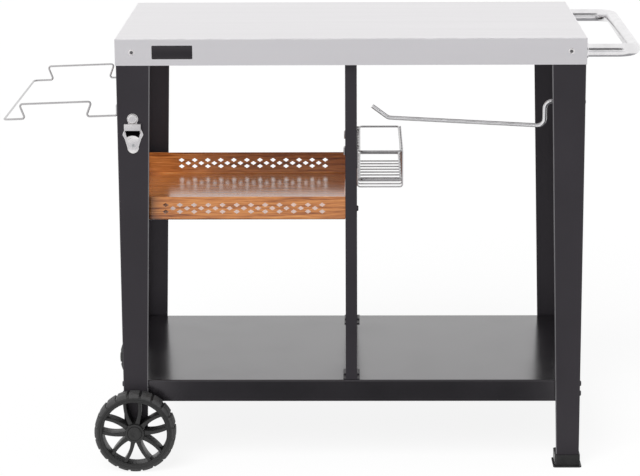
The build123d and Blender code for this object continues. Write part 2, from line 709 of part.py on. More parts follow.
with BuildPart() as basket_rings:
    add(ring(BASKET_TOP))
    hook_x = -POST_WIDTH / 2 - SLIDE_GAP - BASKET_WIRE / 2
    for y in (-BASKET_FRONT + BASKET_HOOK_INSET, BASKET_REAR - BASKET_HOOK_INSET):
        hook = [(BASKET_LEFT, y, BASKET_TOP), (hook_x, y, BASKET_TOP), (hook_x, y, BASKET_TOP - BASKET_HOOK)]
        add(bent_rod(hook, BASKET_WIRE / 2, 0, WIRE_SIDES))
    add(ring(BASKET_TOP - BASKET_HEIGHT + BASKET_LOWER_RING))
save(basket_rings.part, "basket_rings")

with BuildPart() as basket_wires:
    wire_outset = (BASKET_WIRE + BASKET_CROSS_WIRE) / 2 + RUN_GAP
    floor = BASKET_TOP - BASKET_HEIGHT + BASKET_CROSS_WIRE / 2
    pitch = (BASKET_DEPTH - 2 * BASKET_WIRE - 2 * BASKET_CROSS_WIRE) / (BASKET_CROSS_COUNT - 1)
    for n in range(BASKET_CROSS_COUNT):
        y = -BASKET_FRONT + BASKET_WIRE / 2 + BASKET_CROSS_WIRE + n * pitch
        cross = [
            (BASKET_LEFT - wire_outset, y, BASKET_TOP + BASKET_WIRE / 2),
            (BASKET_LEFT - wire_outset, y, floor),
            (BASKET_RIGHT + wire_outset, y, floor),
            (BASKET_RIGHT + wire_outset, y, BASKET_TOP + BASKET_WIRE / 2),
        ]
        add(bent_rod(cross, BASKET_CROSS_WIRE / 2, 0, WIRE_SIDES))
save(basket_wires.part, "basket_wires")
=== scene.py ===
"""Looks of a grill cart: pieces, fasteners, finishes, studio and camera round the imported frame."""

import logging
import math
from dataclasses import dataclass, field
from enum import Enum

import bmesh
import bpy
from bmesh.types import BMEdge, BMesh, BMFace, BMVert
from bpy.types import Material, Mesh, Node, NodeSocket, NodeTree, Object, Scene
from mathutils import Matrix, Vector


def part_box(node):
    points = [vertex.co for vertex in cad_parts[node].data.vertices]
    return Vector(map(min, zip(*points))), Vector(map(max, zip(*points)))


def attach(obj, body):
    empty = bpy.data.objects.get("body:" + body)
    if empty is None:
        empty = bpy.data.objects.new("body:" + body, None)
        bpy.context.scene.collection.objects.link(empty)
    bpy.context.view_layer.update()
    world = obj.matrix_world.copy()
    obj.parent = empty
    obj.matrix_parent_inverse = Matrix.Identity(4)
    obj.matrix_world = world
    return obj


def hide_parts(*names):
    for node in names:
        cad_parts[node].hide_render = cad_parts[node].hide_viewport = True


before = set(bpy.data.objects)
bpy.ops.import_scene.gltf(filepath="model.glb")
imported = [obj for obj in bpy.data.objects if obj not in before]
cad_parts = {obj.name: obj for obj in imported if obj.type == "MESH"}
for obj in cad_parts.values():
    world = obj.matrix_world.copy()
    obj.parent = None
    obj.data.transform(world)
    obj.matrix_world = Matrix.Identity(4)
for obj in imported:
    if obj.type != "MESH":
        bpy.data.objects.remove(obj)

LOG = logging.getLogger("grill_cart")
MM = 0.001
LEG_SIDE = 448.8
LEG_FRONT = 253.8
PIECE_MERGE = 2e-6
SEAM_MERGE = 1e-4
BEVEL_MERGE = 0.02
SMOOTH_ANGLE = math.radians(38)
RIGHT, LEFT = Vector((1, 0, 0)), Vector((-1, 0, 0))
BACK, FRONT = Vector((0, 1, 0)), Vector((0, -1, 0))
UP = Vector((0, 0, 1))
SIDES = (-1, 1)
Outline = list[tuple[float, float]]
Point = tuple[float, float, float]
Colour = tuple[float, float, float]
Spot = tuple[Vector, Vector]


class Body(Enum):
    """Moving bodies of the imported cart."""

    CART = "cart"
    FRONT_WHEEL = "front_wheel"
    REAR_WHEEL = "rear_wheel"
    BAG_RACK = "bag_rack"
    SPICE_BASKET = "spice_basket"


class Slot(Enum):
    """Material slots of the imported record."""

    STAINLESS = "stainless"
    POWDER_COAT = "black_powder_coat"
    WOOD_PRINT = "wood_print"
    POLISHED = "polished_steel"
    SATIN = "satin_steel"
    ZINC = "zinc_steel"
    PLASTIC = "black_plastic"


class Recess(Enum):
    """Shape of the drive in a fastener's head."""

    CROSS = "cross"
    HEXAGON = "hexagon"
    SLOT = "slot"


class End(Enum):
    """End of the axle that a wheel runs on, as the sign of its Y."""

    FRONT = -1
    REAR = 1


def at(x: float, y: float, z: float) -> Vector:
    """Point in the row frame from millimetres about the worktop's middle and the floor."""
    low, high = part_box("worktop")
    return Vector(((low.x + high.x) / 2 + x * MM, y * MM, z * MM))


def facing(origin: Vector, across: Vector, out: Vector) -> Matrix:
    """Placing of a flat sketch in the row frame.

    Args:
        origin: Where the sketch's zero goes.
        across: Direction of the sketch's first axis.
        out: Direction that the sketch faces.

    Returns:
        Matrix that takes sketch millimetres to the row frame.
    """
    turn = Matrix((across, out.cross(across), out)).transposed().to_4x4()
    return Matrix.Translation(origin) @ turn @ Matrix.Scale(MM, 4)


def add_mesh(name: str, mesh: Mesh) -> Object:
    """Links a mesh to the scene as an object at the origin."""
    piece = bpy.data.objects.new(name, mesh)
    bpy.context.scene.collection.objects.link(piece)
    return piece


def smooth(mesh: Mesh) -> None:
    """Shades a mesh smooth up to the usual angle."""
    mesh.shade_smooth()
    mesh.set_sharp_from_angle(angle=SMOOTH_ANGLE)


def make_piece(name: str, work: BMesh, place: Matrix, material: Material) -> Object:
    """Closes a worked mesh and puts it in place as one piece.

    Args:
        name: Name of the piece.
        work: Mesh in its own millimetres, which is used up.
        place: Matrix to the row frame.
        material: Finish of the whole piece.

    Returns:
        The piece, at the origin with its place in its mesh.
    """
    bmesh.ops.transform(work, matrix=place, verts=work.verts)
    bmesh.ops.remove_doubles(work, verts=work.verts, dist=PIECE_MERGE)
    bmesh.ops.recalc_face_normals(work, faces=work.faces)
    mesh = bpy.data.meshes.new(name)
    work.to_mesh(mesh)
    work.free()
    mesh.materials.append(material)
    smooth(mesh)
    return add_mesh(name, mesh)


def pick(results: dict[str, list], kind: type) -> list:
    """Items of one kind among the results of a mesh operator."""
    return [item for item in results["geom"] if isinstance(item, kind)]


def draw_loop(work: BMesh, corners: list[Point]) -> list[BMEdge]:
    """Adds a closed line through corners to a mesh and gives its edges."""
    loop = [work.verts.new(corner) for corner in corners]
    return [work.edges.new(pair) for pair in zip(loop, loop[1:] + loop[:1])]


def turn_profile(work: BMesh, profile: Outline, steps: int = 72) -> None:
    """Turns a profile of radius and height about the sketch's third axis.

    Args:
        work: Mesh that the turned skin is added to.
        profile: Radius and height of each point, in millimetres.
        steps: Flats in one turn.
    """
    verts = [work.verts.new((radius, 0, height)) for radius, height in profile]
    edges = [work.edges.new(pair) for pair in zip(verts, verts[1:])]
    bmesh.ops.spin(
        work, geom=verts + edges, cent=(0, 0, 0), axis=UP, angle=math.tau, steps=steps
    )
    bmesh.ops.remove_doubles(work, verts=work.verts, dist=SEAM_MERGE)


def raise_outline(
    work: BMesh, outlines: list[Outline], low: float, high: float, edge: float = 0.0
) -> None:
    """Raises an outline, with any holes in it, to a block whose upper rims are rounded.

    Args:
        work: Mesh that the block is added to.
        outlines: Corners of the outside and of each hole, in millimetres.
        low: Height of the block's foot.
        high: Height of the block's face.
        edge: Rounding of the upper rims, none at zero.
    """
    rims: list[BMEdge] = []
    for outline in outlines:
        rims += draw_loop(work, [(x, y, low) for x, y in outline])
    foot = pick(bmesh.ops.triangle_fill(work, edges=rims, use_beauty=True), BMFace)
    grown = bmesh.ops.extrude_face_region(work, geom=foot)
    bmesh.ops.translate(work, verts=pick(grown, BMVert), vec=(0, 0, high - low))
    if edge:
        upper = [rim for rim in pick(grown, BMEdge) if rim.calc_face_angle(0) > 1]
        bmesh.ops.bevel(work, geom=upper, offset=edge, segments=3, profile=0.5, affect="EDGES")


def sweep_section(
    work: BMesh, section: Outline, centre: tuple[float, float], turns: list[float]
) -> None:
    """Sweeps a closed section round a centre and caps both ends.

    Args:
        work: Mesh that the swept skin is added to.
        section: Radius and height of each point, in millimetres.
        centre: Centre of the sweep in the sketch.
        turns: Angles of the sweep's steps, in degrees.
    """
    rings = []
    for turn in turns:
        x, y = math.cos(math.radians(turn)), math.sin(math.radians(turn))
        rings.append([
            work.verts.new((centre[0] + radius * x, centre[1] + radius * y, height))
            for radius, height in section
        ])
    for near, far in zip(rings, rings[1:]):
        for n in range(len(section)):
            m = (n + 1) % len(section)
            work.faces.new((near[n], near[m], far[m], far[n]))
    work.faces.new(rings[0])
    work.faces.new(rings[-1])


def arc(
    centre: tuple[float, float], radius: float, start: float, stop: float, steps: int
) -> Outline:
    """Points on a circle between two angles in degrees."""
    turns = [math.radians(start + (stop - start) * n / steps) for n in range(steps + 1)]
    return [(centre[0] + radius * math.cos(t), centre[1] + radius * math.sin(t)) for t in turns]


def rectangle(left: float, low: float, right: float, high: float) -> Outline:
    """Corners of a rectangle, from its lower left and round by its lower right."""
    return [(left, low), (right, low), (right, high), (left, high)]


def rounded_box(width: float, height: float, radius: float) -> Outline:
    """Outline of a rectangle with rounded corners about its middle."""
    x, y = width / 2 - radius, height / 2 - radius
    corners = (((x, y), 0), ((-x, y), 90), ((-x, -y), 180), ((x, -y), 270))
    return [point for centre, turn in corners for point in arc(centre, radius, turn, turn + 90, 5)]


def seat(piece: Object, body: Body, slot: Slot, *nodes: str) -> None:
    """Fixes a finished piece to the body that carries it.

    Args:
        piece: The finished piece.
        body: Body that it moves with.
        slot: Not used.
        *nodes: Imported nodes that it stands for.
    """
    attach(piece, body.value)
    if nodes:
        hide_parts(*nodes)
    LOG.info("%s rides on %s", piece.name, body.value)


def coat(material: Material, *nodes: str) -> None:
    """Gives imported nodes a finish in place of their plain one."""
    for node in nodes:
        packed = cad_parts[node].data.materials
        packed.clear()
        packed.append(material)
        LOG.info("%s is coated with %s", node, material.name)


@dataclass(frozen=True)
class WirePath:
    """One run of wire: its corners about the cart's middle, and the bend at each."""

    points: list[Point]
    bends: list[float]
    closed: bool = False


@dataclass(frozen=True)
class Head:
    """Rounded head of a screw or bolt with a drive pressed into it, in millimetres."""

    diameter: float
    height: float
    recess: Recess
    drive: float
    foot: float = -0.3
    skirt: float = 0.35
    flat: float = 0.36
    dome: tuple[tuple[float, float], ...] = ((0.12, 0.58), (0.4, 0.84), (0.75, 0.97), (1.0, 1.0))
    drive_slim: float = 0.14
    drive_sink: float = 0.6
    steps: int = 32

    def drive_outline(self) -> Outline:
        """Outline of the pressed drive about the head's middle."""
        if self.recess is Recess.HEXAGON:
            return arc((0, 0), self.drive / 2, 0, 300, 5)
        long, slim = self.drive / 2, self.drive * self.drive_slim
        if self.recess is Recess.SLOT:
            return rectangle(-slim, -long, slim, long)
        arm = [(long, -slim), (long, slim), (slim, slim)]
        turns = [Matrix.Rotation(math.radians(90 * n), 2) for n in range(4)]
        return [tuple(turn @ Vector(point)) for turn in turns for point in arm]

    def pattern(self) -> Object:
        """Builds one head that stands on the sketch's zero.

        Returns:
            Object of the head in metres, which the fastener tree uses up.
        """
        radius, height = self.diameter / 2, self.height
        slope = radius - self.diameter * self.flat
        profile = [(0, self.foot), (radius, self.foot), (radius, height * self.skirt)]
        profile += [(radius - slope * share, height * rise) for share, rise in self.dome]
        work = bmesh.new()
        turn_profile(work, profile, self.steps)
        rim = [edge for edge in work.edges if edge.is_boundary]
        lip = draw_loop(work, [(x, y, height) for x, y in self.drive_outline()])
        bmesh.ops.triangle_fill(work, edges=rim + lip, use_beauty=True)
        sunk = bmesh.ops.extrude_edge_only(work, edges=lip)
        floor = pick(sunk, BMVert)
        bmesh.ops.translate(work, verts=floor, vec=(0, 0, -height * self.drive_sink))
        bmesh.ops.contextual_create(work, geom=floor + pick(sunk, BMEdge))
        bmesh.ops.recalc_face_normals(work, faces=work.faces)
        mesh = bpy.data.meshes.new("head")
        work.to_mesh(mesh)
        work.free()
        mesh.transform(Matrix.Scale(MM, 4))
        return add_mesh("head", mesh)


class NodeWork:
    """A node tree under construction, in which a node as a source means its first output."""

    def __init__(self, tree: NodeTree) -> None:
        """Starts on a tree."""
        self.tree = tree

    def put(self, kind: str, sockets: dict[str | int, object], **settings: object) -> Node:
        """Adds a node.

        Args:
            kind: Type of the node.
            sockets: Value or source of each input, by its name or number.
            **settings: Properties of the node.

        Returns:
            The new node.
        """
        node = self.tree.nodes.new(kind)
        for key, value in settings.items():
            setattr(node, key, value)
        for key, value in sockets.items():
            self.join(value, node.inputs[key])
        return node

    def join(self, source: object, socket: NodeSocket) -> None:
        """Links an input to its source, or gives it a plain value."""
        if isinstance(source, Node):
            source = source.outputs[0]
        if isinstance(source, NodeSocket):
            self.tree.links.new(source, socket)
        else:
            socket.default_value = source

    def reckon(self, operation: str, *terms: object) -> Node:
        """Adds a node that works out a sum."""
        return self.put("ShaderNodeMath", dict(enumerate(terms)), operation=operation)


class ShapeTree(NodeWork):
    """A geometry node tree with named inputs, which ends in real geometry with a finish."""

    def __init__(self, name: str, **inputs: str) -> None:
        """Starts a tree.

        Args:
            name: Name of the tree.
            **inputs: Socket type of each named input.
        """
        super().__init__(bpy.data.node_groups.new(name, "GeometryNodeTree"))
        face = self.tree.interface
        for label, kind in {"Geometry": "Geometry", **inputs, "Finish": "Material"}.items():
            face.new_socket(label, in_out="INPUT", socket_type="NodeSocket" + kind)
        face.new_socket("Geometry", in_out="OUTPUT", socket_type="NodeSocketGeometry")
        self.given = self.put("NodeGroupInput", {}).outputs

    def read(self, name: str, kind: str) -> NodeSocket:
        """Value of a named attribute of the mesh that goes in."""
        stored = self.put("GeometryNodeInputNamedAttribute", {"Name": name}, data_type=kind)
        return stored.outputs["Attribute"]

    def close(self, **copies: Node | NodeSocket) -> None:
        """Ends the tree with instances on points, made real and given a finish."""
        spread = self.put("GeometryNodeInstanceOnPoints", copies)
        real = self.put("GeometryNodeRealizeInstances", {"Geometry": spread})
        look = {"Geometry": real, "Material": self.given["Finish"]}
        self.put("NodeGroupOutput", {"Geometry": self.put("GeometryNodeSetMaterial", look)})

    def run(self, piece: Object, **values: object) -> Object:
        """Runs the tree on a piece and keeps the result as a plain mesh.

        Args:
            piece: Object whose mesh goes in.
            **values: Value of each named input.

        Returns:
            The same object with the finished mesh.
        """
        modifier = piece.modifiers.new(self.tree.name, "NODES")
        modifier.node_group = self.tree
        for item in self.tree.interface.items_tree:
            if item.in_out == "INPUT" and item.name in values:
                modifier[item.identifier] = values[item.name]
        graph = bpy.context.evaluated_depsgraph_get()
        mesh = bpy.data.meshes.new_from_object(piece.evaluated_get(graph))
        piece.modifiers.clear()
        piece.data = mesh
        smooth(mesh)
        return piece


class WireTree(ShapeTree):
    """Bends round wire along paths and repeats it at a pitch."""

    bend_steps: int = 8
    thin_sides: int = 16
    thick_sides: int = 32
    thick: float = 10.0

    def __init__(self) -> None:
        """Builds the tree."""
        super().__init__("bent_wire", Gauge="Float", Sides="Int", Copies="Int", Pitch="Vector")
        given = self.given
        curve = self.put("GeometryNodeMeshToCurve", {"Mesh": given["Geometry"]})
        bends = {"Count": self.bend_steps, "Radius": self.read("bend", "FLOAT")}
        path = self.put(
            "GeometryNodeFilletCurve", {"Curve": curve, **bends, "Limit Radius": True}, mode="POLY"
        )
        half = self.reckon("MULTIPLY", given["Gauge"], 0.5)
        circle = {"Resolution": given["Sides"], "Radius": half}
        section = self.put("GeometryNodeCurvePrimitiveCircle", circle)
        wire = self.put(
            "GeometryNodeCurveToMesh", {"Curve": path, "Profile Curve": section, "Fill Caps": True}
        )
        line = {"Count": given["Copies"], "Offset": given["Pitch"]}
        self.close(Points=self.put("GeometryNodeMeshLine", line), Instance=wire)

    def bend(
        self,
        name: str,
        paths: list[WirePath],
        gauge: float,
        material: Material,
        copies: int = 1,
        pitch: float = 0.0,
    ) -> Object:
        """Makes one piece of bent wire.

        Args:
            name: Name of the piece.
            paths: Runs of wire.
            gauge: Wire thickness in millimetres.
            material: Finish of the wire.
            copies: How often the runs are repeated towards the back.
            pitch: Distance between copies in millimetres.

        Returns:
            The finished piece.
        """
        points: list[Vector] = []
        edges: list[tuple[int, int]] = []
        bends: list[float] = []
        for path in paths:
            first = len(points)
            count = len(path.points)
            points += [at(*point) for point in path.points]
            bends += [bend * MM for bend in path.bends]
            edges += [(first + n, first + n + 1) for n in range(count - 1)]
            if path.closed:
                edges.append((first + count - 1, first))
        mesh = bpy.data.meshes.new(name)
        mesh.from_pydata(points, edges, [])
        mesh.attributes.new("bend", "FLOAT", "POINT").data.foreach_set("value", bends)
        return self.run(
            add_mesh(name, mesh),
            Gauge=gauge * MM,
            Sides=self.thick_sides if gauge > self.thick else self.thin_sides,
            Copies=copies,
            Pitch=(0.0, pitch * MM, 0.0),
            Finish=material,
        )


class RingTree(ShapeTree):
    """Repeats a shape round an axle."""

    def __init__(self) -> None:
        """Builds the tree."""
        super().__init__("round_axle", Count="Int")
        count, shape = self.given["Count"], self.given["Geometry"]
        seats = self.put("GeometryNodeMeshLine", {"Count": count, "Offset": (0, 0, 0)})
        share = self.reckon("DIVIDE", self.put("GeometryNodeInputIndex", {}), count)
        turn = self.put("ShaderNodeCombineXYZ", {"Z": self.reckon("MULTIPLY", share, math.tau)})
        self.close(Points=seats, Instance=shape, Rotation=turn)

    def repeat(
        self, name: str, work: BMesh, count: int, place: Matrix, material: Material
    ) -> Object:
        """Makes one piece from a shape repeated round its third axis.

        Args:
            name: Name of the piece.
            work: The shape in millimetres about the axle, which is used up.
            count: How many there are in a turn.
            place: Matrix to the row frame.
            material: Finish of the piece.

        Returns:
            The finished piece.
        """
        piece = make_piece(name, work, Matrix.Identity(4), material)
        self.run(piece, Count=count, Finish=material)
        piece.data.transform(place)
        return piece


class FastenerTree(ShapeTree):
    """Sets a head on each marked spot, turned to face out of the sheet."""

    def __init__(self) -> None:
        """Builds the tree."""
        super().__init__("fasteners", Head="Object")
        aim = {"Vector": self.read("aim", "FLOAT_VECTOR")}
        turn = self.put("FunctionNodeAlignRotationToVector", aim, axis="Z")
        head = self.put("GeometryNodeObjectInfo", {"Object": self.given["Head"]})
        self.close(
            Points=self.given["Geometry"], Instance=head.outputs["Geometry"], Rotation=turn
        )

    def drive(
        self, name: str, head: Head, spots: list[Spot], material: Material, slot: Slot
    ) -> None:
        """Makes one piece of all the fasteners of a kind and fixes it to the cart.

        Args:
            name: Name of the piece.
            head: Shape of one head.
            spots: Seat and outward direction of each head.
            material: Finish of the heads.
            slot: Slot of the record that the finish belongs to.
        """
        mesh = bpy.data.meshes.new(name)
        mesh.from_pydata([spot for spot, _ in spots], [], [])
        aims = [value for _, aim in spots for value in aim]
        mesh.attributes.new("aim", "FLOAT_VECTOR", "POINT").data.foreach_set("vector", aims)
        pattern = head.pattern()
        piece = self.run(add_mesh(name, mesh), Head=pattern, Finish=material)
        bpy.data.objects.remove(pattern)
        seat(piece, Body.CART, slot)


class Shade(NodeWork):
    """A procedural material round one surface shader, patterned on object coordinates."""

    def __init__(self, name: str, **sockets: object) -> None:
        """Starts a material.

        Args:
            name: Name of the material.
            **sockets: Values that are the same all over, by socket name with _ for spaces.
        """
        self.material = bpy.data.materials.new(name)
        self.material.use_nodes = True
        super().__init__(self.material.node_tree)
        self.surface = self.tree.nodes["Principled BSDF"]
        for key, value in sockets.items():
            self.surface.inputs[key.replace("_", " ")].default_value = value
        self.place = self.put("ShaderNodeTexCoord", {}).outputs["Object"]

    def fold_ends(self) -> None:
        """Turns the pattern up with the walls that face along the cart, as on a folded sheet."""
        normal = self.put("ShaderNodeNewGeometry", {}).outputs["True Normal"]
        along = self.put("ShaderNodeSeparateXYZ", {"Vector": normal}).outputs["X"]
        ends = self.reckon("GREATER_THAN", self.reckon("ABSOLUTE", along), 0.5)
        flat = self.put("ShaderNodeSeparateXYZ", {"Vector": self.place}).outputs
        upright = self.put("ShaderNodeCombineXYZ", {"X": flat["Z"], "Y": flat["Y"], "Z": flat["X"]})
        choice = {0: ends, 4: self.place, 5: upright}
        self.place = self.put("ShaderNodeMix", choice, data_type="VECTOR").outputs[1]

    def noise(self, stretch: Point, detail: float, warp: float = 0.0) -> Node:
        """Cloudy pattern with its own fineness along each axis.

        Args:
            stretch: Cells per metre along each axis.
            detail: Layers of finer cells.
            warp: How far the cells are pulled about.

        Returns:
            The pattern, from 0 to 1.
        """
        spread = self.put("ShaderNodeMapping", {"Vector": self.place, "Scale": stretch})
        cells = {"Vector": spread, "Scale": 1.0, "Detail": detail, "Distortion": warp}
        return self.put("ShaderNodeTexNoise", cells)

    def level(self, pattern: Node, low: float, high: float) -> Node:
        """Pattern's middle range spread between two numbers."""
        span = {"From Min": 0.3, "From Max": 0.7, "To Min": low, "To Max": high}
        return self.put("ShaderNodeMapRange", {"Value": pattern, **span})

    def tint(self, pattern: Node, *stops: tuple[float, Colour]) -> Node:
        """Pattern as colours.

        Args:
            pattern: Pattern from 0 to 1.
            *stops: Place and colour of each stop.

        Returns:
            The colour.
        """
        ramp = self.put("ShaderNodeValToRGB", {"Fac": pattern})
        scale = ramp.color_ramp.elements
        while len(scale) < len(stops):
            scale.new(0.5)
        for stop, (place, colour) in zip(scale, stops):
            stop.position = place
            stop.color = (*colour, 1)
        return ramp

    def wear(self, colour: Node, rough: Node, relief: Node, depth: float) -> Material:
        """Joins the patterns to the surface.

        Args:
            colour: Colour of the surface.
            rough: Roughness of the surface.
            relief: Fine relief from 0 to 1.
            depth: Depth of the relief in millimetres.

        Returns:
            The finished material.
        """
        bump = {"Height": relief, "Strength": 1.0, "Distance": depth * MM}
        self.join(colour, self.surface.inputs["Base Color"])
        self.join(rough, self.surface.inputs["Roughness"])
        self.join(self.put("ShaderNodeBump", bump), self.surface.inputs["Normal"])
        return self.material


@dataclass(frozen=True)
class BrushedSteel:
    """Stainless sheet, brushed along the cart's length."""

    name: str = "brushed_stainless"
    dark: Colour = (0.758, 0.743, 0.758)
    light: Colour = (0.775, 0.76, 0.775)

    def make(self) -> Material:
        """Builds the material."""
        shade = Shade(self.name, Metallic=1.0)
        shade.fold_ends()
        strokes = shade.noise((5, 420, 420), 4)
        bands = shade.noise((1.2, 34, 34), 3)
        colour = shade.tint(bands, (0.3, self.dark), (0.62, self.light))
        rough = shade.level(strokes, 0.28, 0.38)
        return shade.wear(colour, rough, strokes, 0.008)


@dataclass(frozen=True)
class PowderCoat:
    """Baked black powder coat with a slight orange peel, and a clear lacquer on some pieces."""

    name: str
    tone: float = 0.015
    gloss: float = 0.42
    peel: float = 0.03
    index: float = 1.5
    lacquer: float = 0.0

    def make(self) -> Material:
        """Builds the material."""
        shade = Shade(
            self.name, IOR=self.index, Specular_Tint=(1.0, 0.93, 1.02, 1),
            Coat_Weight=self.lacquer, Coat_Roughness=self.gloss,
        )
        peel = shade.noise((620, 620, 620), 2)
        cloud = shade.noise((9, 9, 9), 3)
        low, high = self.tone * 0.85, self.tone * 1.15
        colour = shade.tint(
            cloud, (0.35, (low, low * 0.9, low * 1.06)), (0.65, (high, high * 0.9, high * 1.06))
        )
        rough = shade.level(cloud, self.gloss - 0.04, self.gloss + 0.04)
        return shade.wear(colour, rough, peel, self.peel)


@dataclass(frozen=True)
class PrintedOak:
    """Sheet with a glossy printed wood grain that runs along the tray."""

    name: str = "printed_oak"
    grain: tuple[tuple[float, Colour], ...] = (
        (0.34, (0.14, 0.034, 0.007)),
        (0.45, (0.45, 0.145, 0.034)),
        (0.54, (0.64, 0.235, 0.060)),
        (0.66, (0.78, 0.34, 0.10)),
    )

    def make(self) -> Material:
        """Builds the material."""
        shade = Shade(self.name, IOR=1.48, Coat_Weight=0.9, Coat_Roughness=0.15)
        shade.fold_ends()
        figure = shade.noise((5, 120, 120), 6, 0.9)
        pores = shade.noise((26, 620, 620), 4, 0.4)
        both = shade.reckon("MULTIPLY", shade.reckon("ADD", figure, pores), 0.5)
        rough = shade.level(pores, 0.2, 0.28)
        return shade.wear(shade.tint(both, *self.grain), rough, pores, 0.012)


@dataclass(frozen=True)
class BareMetal:
    """Bare or plated steel, from polished tube to zinc-plated nuts."""

    name: str
    tone: Colour
    gloss: float
    grain: float

    def make(self) -> Material:
        """Builds the material."""
        shade = Shade(self.name, Metallic=1.0)
        cloud = shade.noise((30, 30, 30), 4)
        scratch = shade.noise((160, 900, 900), 3)
        dark = tuple(value * 0.9 for value in self.tone)
        colour = shade.tint(cloud, (0.32, dark), (0.62, self.tone))
        rough = shade.level(scratch, self.gloss, self.gloss + 0.08)
        return shade.wear(colour, rough, scratch, self.grain)


@dataclass(frozen=True)
class MouldedPlastic:
    """Black plastic with the fine texture of its mould."""

    name: str
    tone: float = 0.010
    gloss: float = 0.38

    def make(self) -> Material:
        """Builds the material."""
        shade = Shade(self.name, IOR=1.54)
        spark = shade.noise((1100, 1100, 1100), 2)
        scuff = shade.noise((55, 55, 55), 4)
        low, high = self.tone * 0.8, self.tone * 1.25
        colour = shade.tint(scuff, (0.35, (low, low, low)), (0.66, (high, high * 0.98, high)))
        rough = shade.level(scuff, self.gloss - 0.06, self.gloss + 0.1)
        return shade.wear(colour, rough, spark, 0.05)


def mixed(recipe: BrushedSteel | PowderCoat | PrintedOak | BareMetal | MouldedPlastic) -> Material:
    """Field that holds the material of a recipe."""
    return field(default_factory=recipe.make)


@dataclass(frozen=True)
class Finishes:
    """Every finish on the cart, made once."""

    brushed: Material = mixed(BrushedSteel())
    coat: Material = mixed(PowderCoat("satin_powder_coat"))
    shelf_coat: Material = mixed(PowderCoat("smooth_powder_coat", 0.006, 0.2, 0.008, 1.56, 0.4))
    # Lighter metal for the strips along the legs' inner folds: a painted highlight.
    hem_coat: Material = mixed(BareMetal("rubbed_fold", (0.21, 0.205, 0.215), 0.3, 0.01))
    oak: Material = mixed(PrintedOak())
    polished: Material = mixed(BareMetal("polished_tube", (0.84, 0.83, 0.84), 0.2, 0.004))
    wire: Material = mixed(BareMetal("drawn_wire", (0.54, 0.53, 0.535), 0.18, 0.006))
    plated: Material = mixed(BareMetal("plated_wire", (0.7, 0.685, 0.69), 0.13, 0.004))
    satin: Material = mixed(BareMetal("satin_cast_steel", (0.86, 0.84, 0.84), 0.18, 0.01))
    zinc: Material = mixed(BareMetal("zinc_plate", (0.62, 0.63, 0.64), 0.3, 0.02))
    # Darker, rougher copy of the satin cast steel for the opener's hood; the darker tone is painted
    # shade.
    hood: Material = mixed(BareMetal("dull_cast_steel", (0.73, 0.71, 0.715), 0.26, 0.01))
    # Brighter, rougher copy of the stainless for the bead on the top's fold: a painted highlight.
    painted_highlight: Material = mixed(BareMetal("rolled_edge", (0.93, 0.915, 0.93), 0.5, 0.01))
    black_bolt: Material = mixed(PowderCoat("blackened_bolt", 0.018, 0.34, 0.01))
    # Dark metal for the plugs set in the apron screws' recesses: painted shade.
    drive: Material = mixed(BareMetal("screw_drive", (0.2, 0.195, 0.2), 0.34, 0.01))
    plastic: Material = mixed(MouldedPlastic("moulded_plastic"))
    tread: Material = mixed(MouldedPlastic("scuffed_tread", 0.045, 0.55))
    enamel: Material = mixed(PowderCoat("badge_enamel", 0.008, 0.2, 0.006))
    # Near-black matt sheet set behind the opener's mouth: painted shade.
    mouth_shade: Material = mixed(PowderCoat("blackened_back", 0.004, 0.85, 0.02, 1.08))


@dataclass(frozen=True)
class Tools:
    """Finishes and node trees that the sub-assemblies share."""

    finish: Finishes
    wire: WireTree
    ring: RingTree
    fastener: FastenerTree


@dataclass(frozen=True)
class Worktop:
    """Folded stainless top with its apron, the channel below it and a bare badge plate."""

    half_length: float = 450.0
    half_depth: float = 255.0
    height: float = 856.0
    fold: float = 4.0
    fold_bend: float = 0.5
    badge_left: float = -379.6
    badge_size: tuple[float, float, float] = (77.8, 26.0, 1.1)
    badge_corner: float = 1.8
    badge_edge: float = 0.5
    badge_sink: float = 0.1
    badge_middle: float = 829.4
    screws: tuple[tuple[float, float], ...] = ((-418.0, 829.5), (420.0, 829.8))
    screw: Head = Head(12.0, 2.2, Recess.HEXAGON, 7.0)
    # Dark plug in each screw's recess, which paints the recess's shade.
    screw_drive: Head = Head(6.1, 2.3, Recess.CROSS, 3.6)

    def dress(self, tools: Tools) -> None:
        """Coats the sheets, lays a round bead in a brighter steel on the top's fold as a painted
        highlight, and sets the badge plate and the apron screws.
        """
        finish = tools.finish
        coat(finish.brushed, "worktop")
        coat(finish.coat, "centre_channel")
        self.set_badge(tools)
        # The round bead on the top's fold is real shape; its brighter steel paints the fold's
        # highlight.
        inset = self.fold / 2
        x, y = self.half_length - inset, self.half_depth - inset
        edge = [(*corner, self.height - inset) for corner in rectangle(-x, -y, x, y)]
        path = WirePath(edge, [self.fold_bend] * 4, True)
        painted_highlight = tools.wire.bend("top_rolled_edge", [path], self.fold, finish.painted_highlight)
        seat(painted_highlight, Body.CART, Slot.STAINLESS)
        spots = [
            (at(x, y * self.half_depth, height), Vector((0, y, 0)))
            for x, height in self.screws
            for y in SIDES
        ]
        tools.fastener.drive("apron_screws", self.screw, spots, finish.satin, Slot.ZINC)
        # The dark plugs paint the shade in the screws' recesses.
        tools.fastener.drive("apron_screw_drives", self.screw_drive, spots, finish.drive, Slot.ZINC)

    def set_badge(self, tools: Tools) -> None:
        """Fixes a plain black plate to the left of the front apron."""
        width, height, sheet = self.badge_size
        middle = at(self.badge_left + width / 2, -self.half_depth, self.badge_middle)
        work = bmesh.new()
        outline = rounded_box(width, height, self.badge_corner)
        raise_outline(work, [outline], -self.badge_sink, sheet, self.badge_edge)
        place = facing(middle, RIGHT, FRONT)
        plate = make_piece("badge_plate", work, place, tools.finish.enamel)
        seat(plate, Body.CART, Slot.POWDER_COAT)


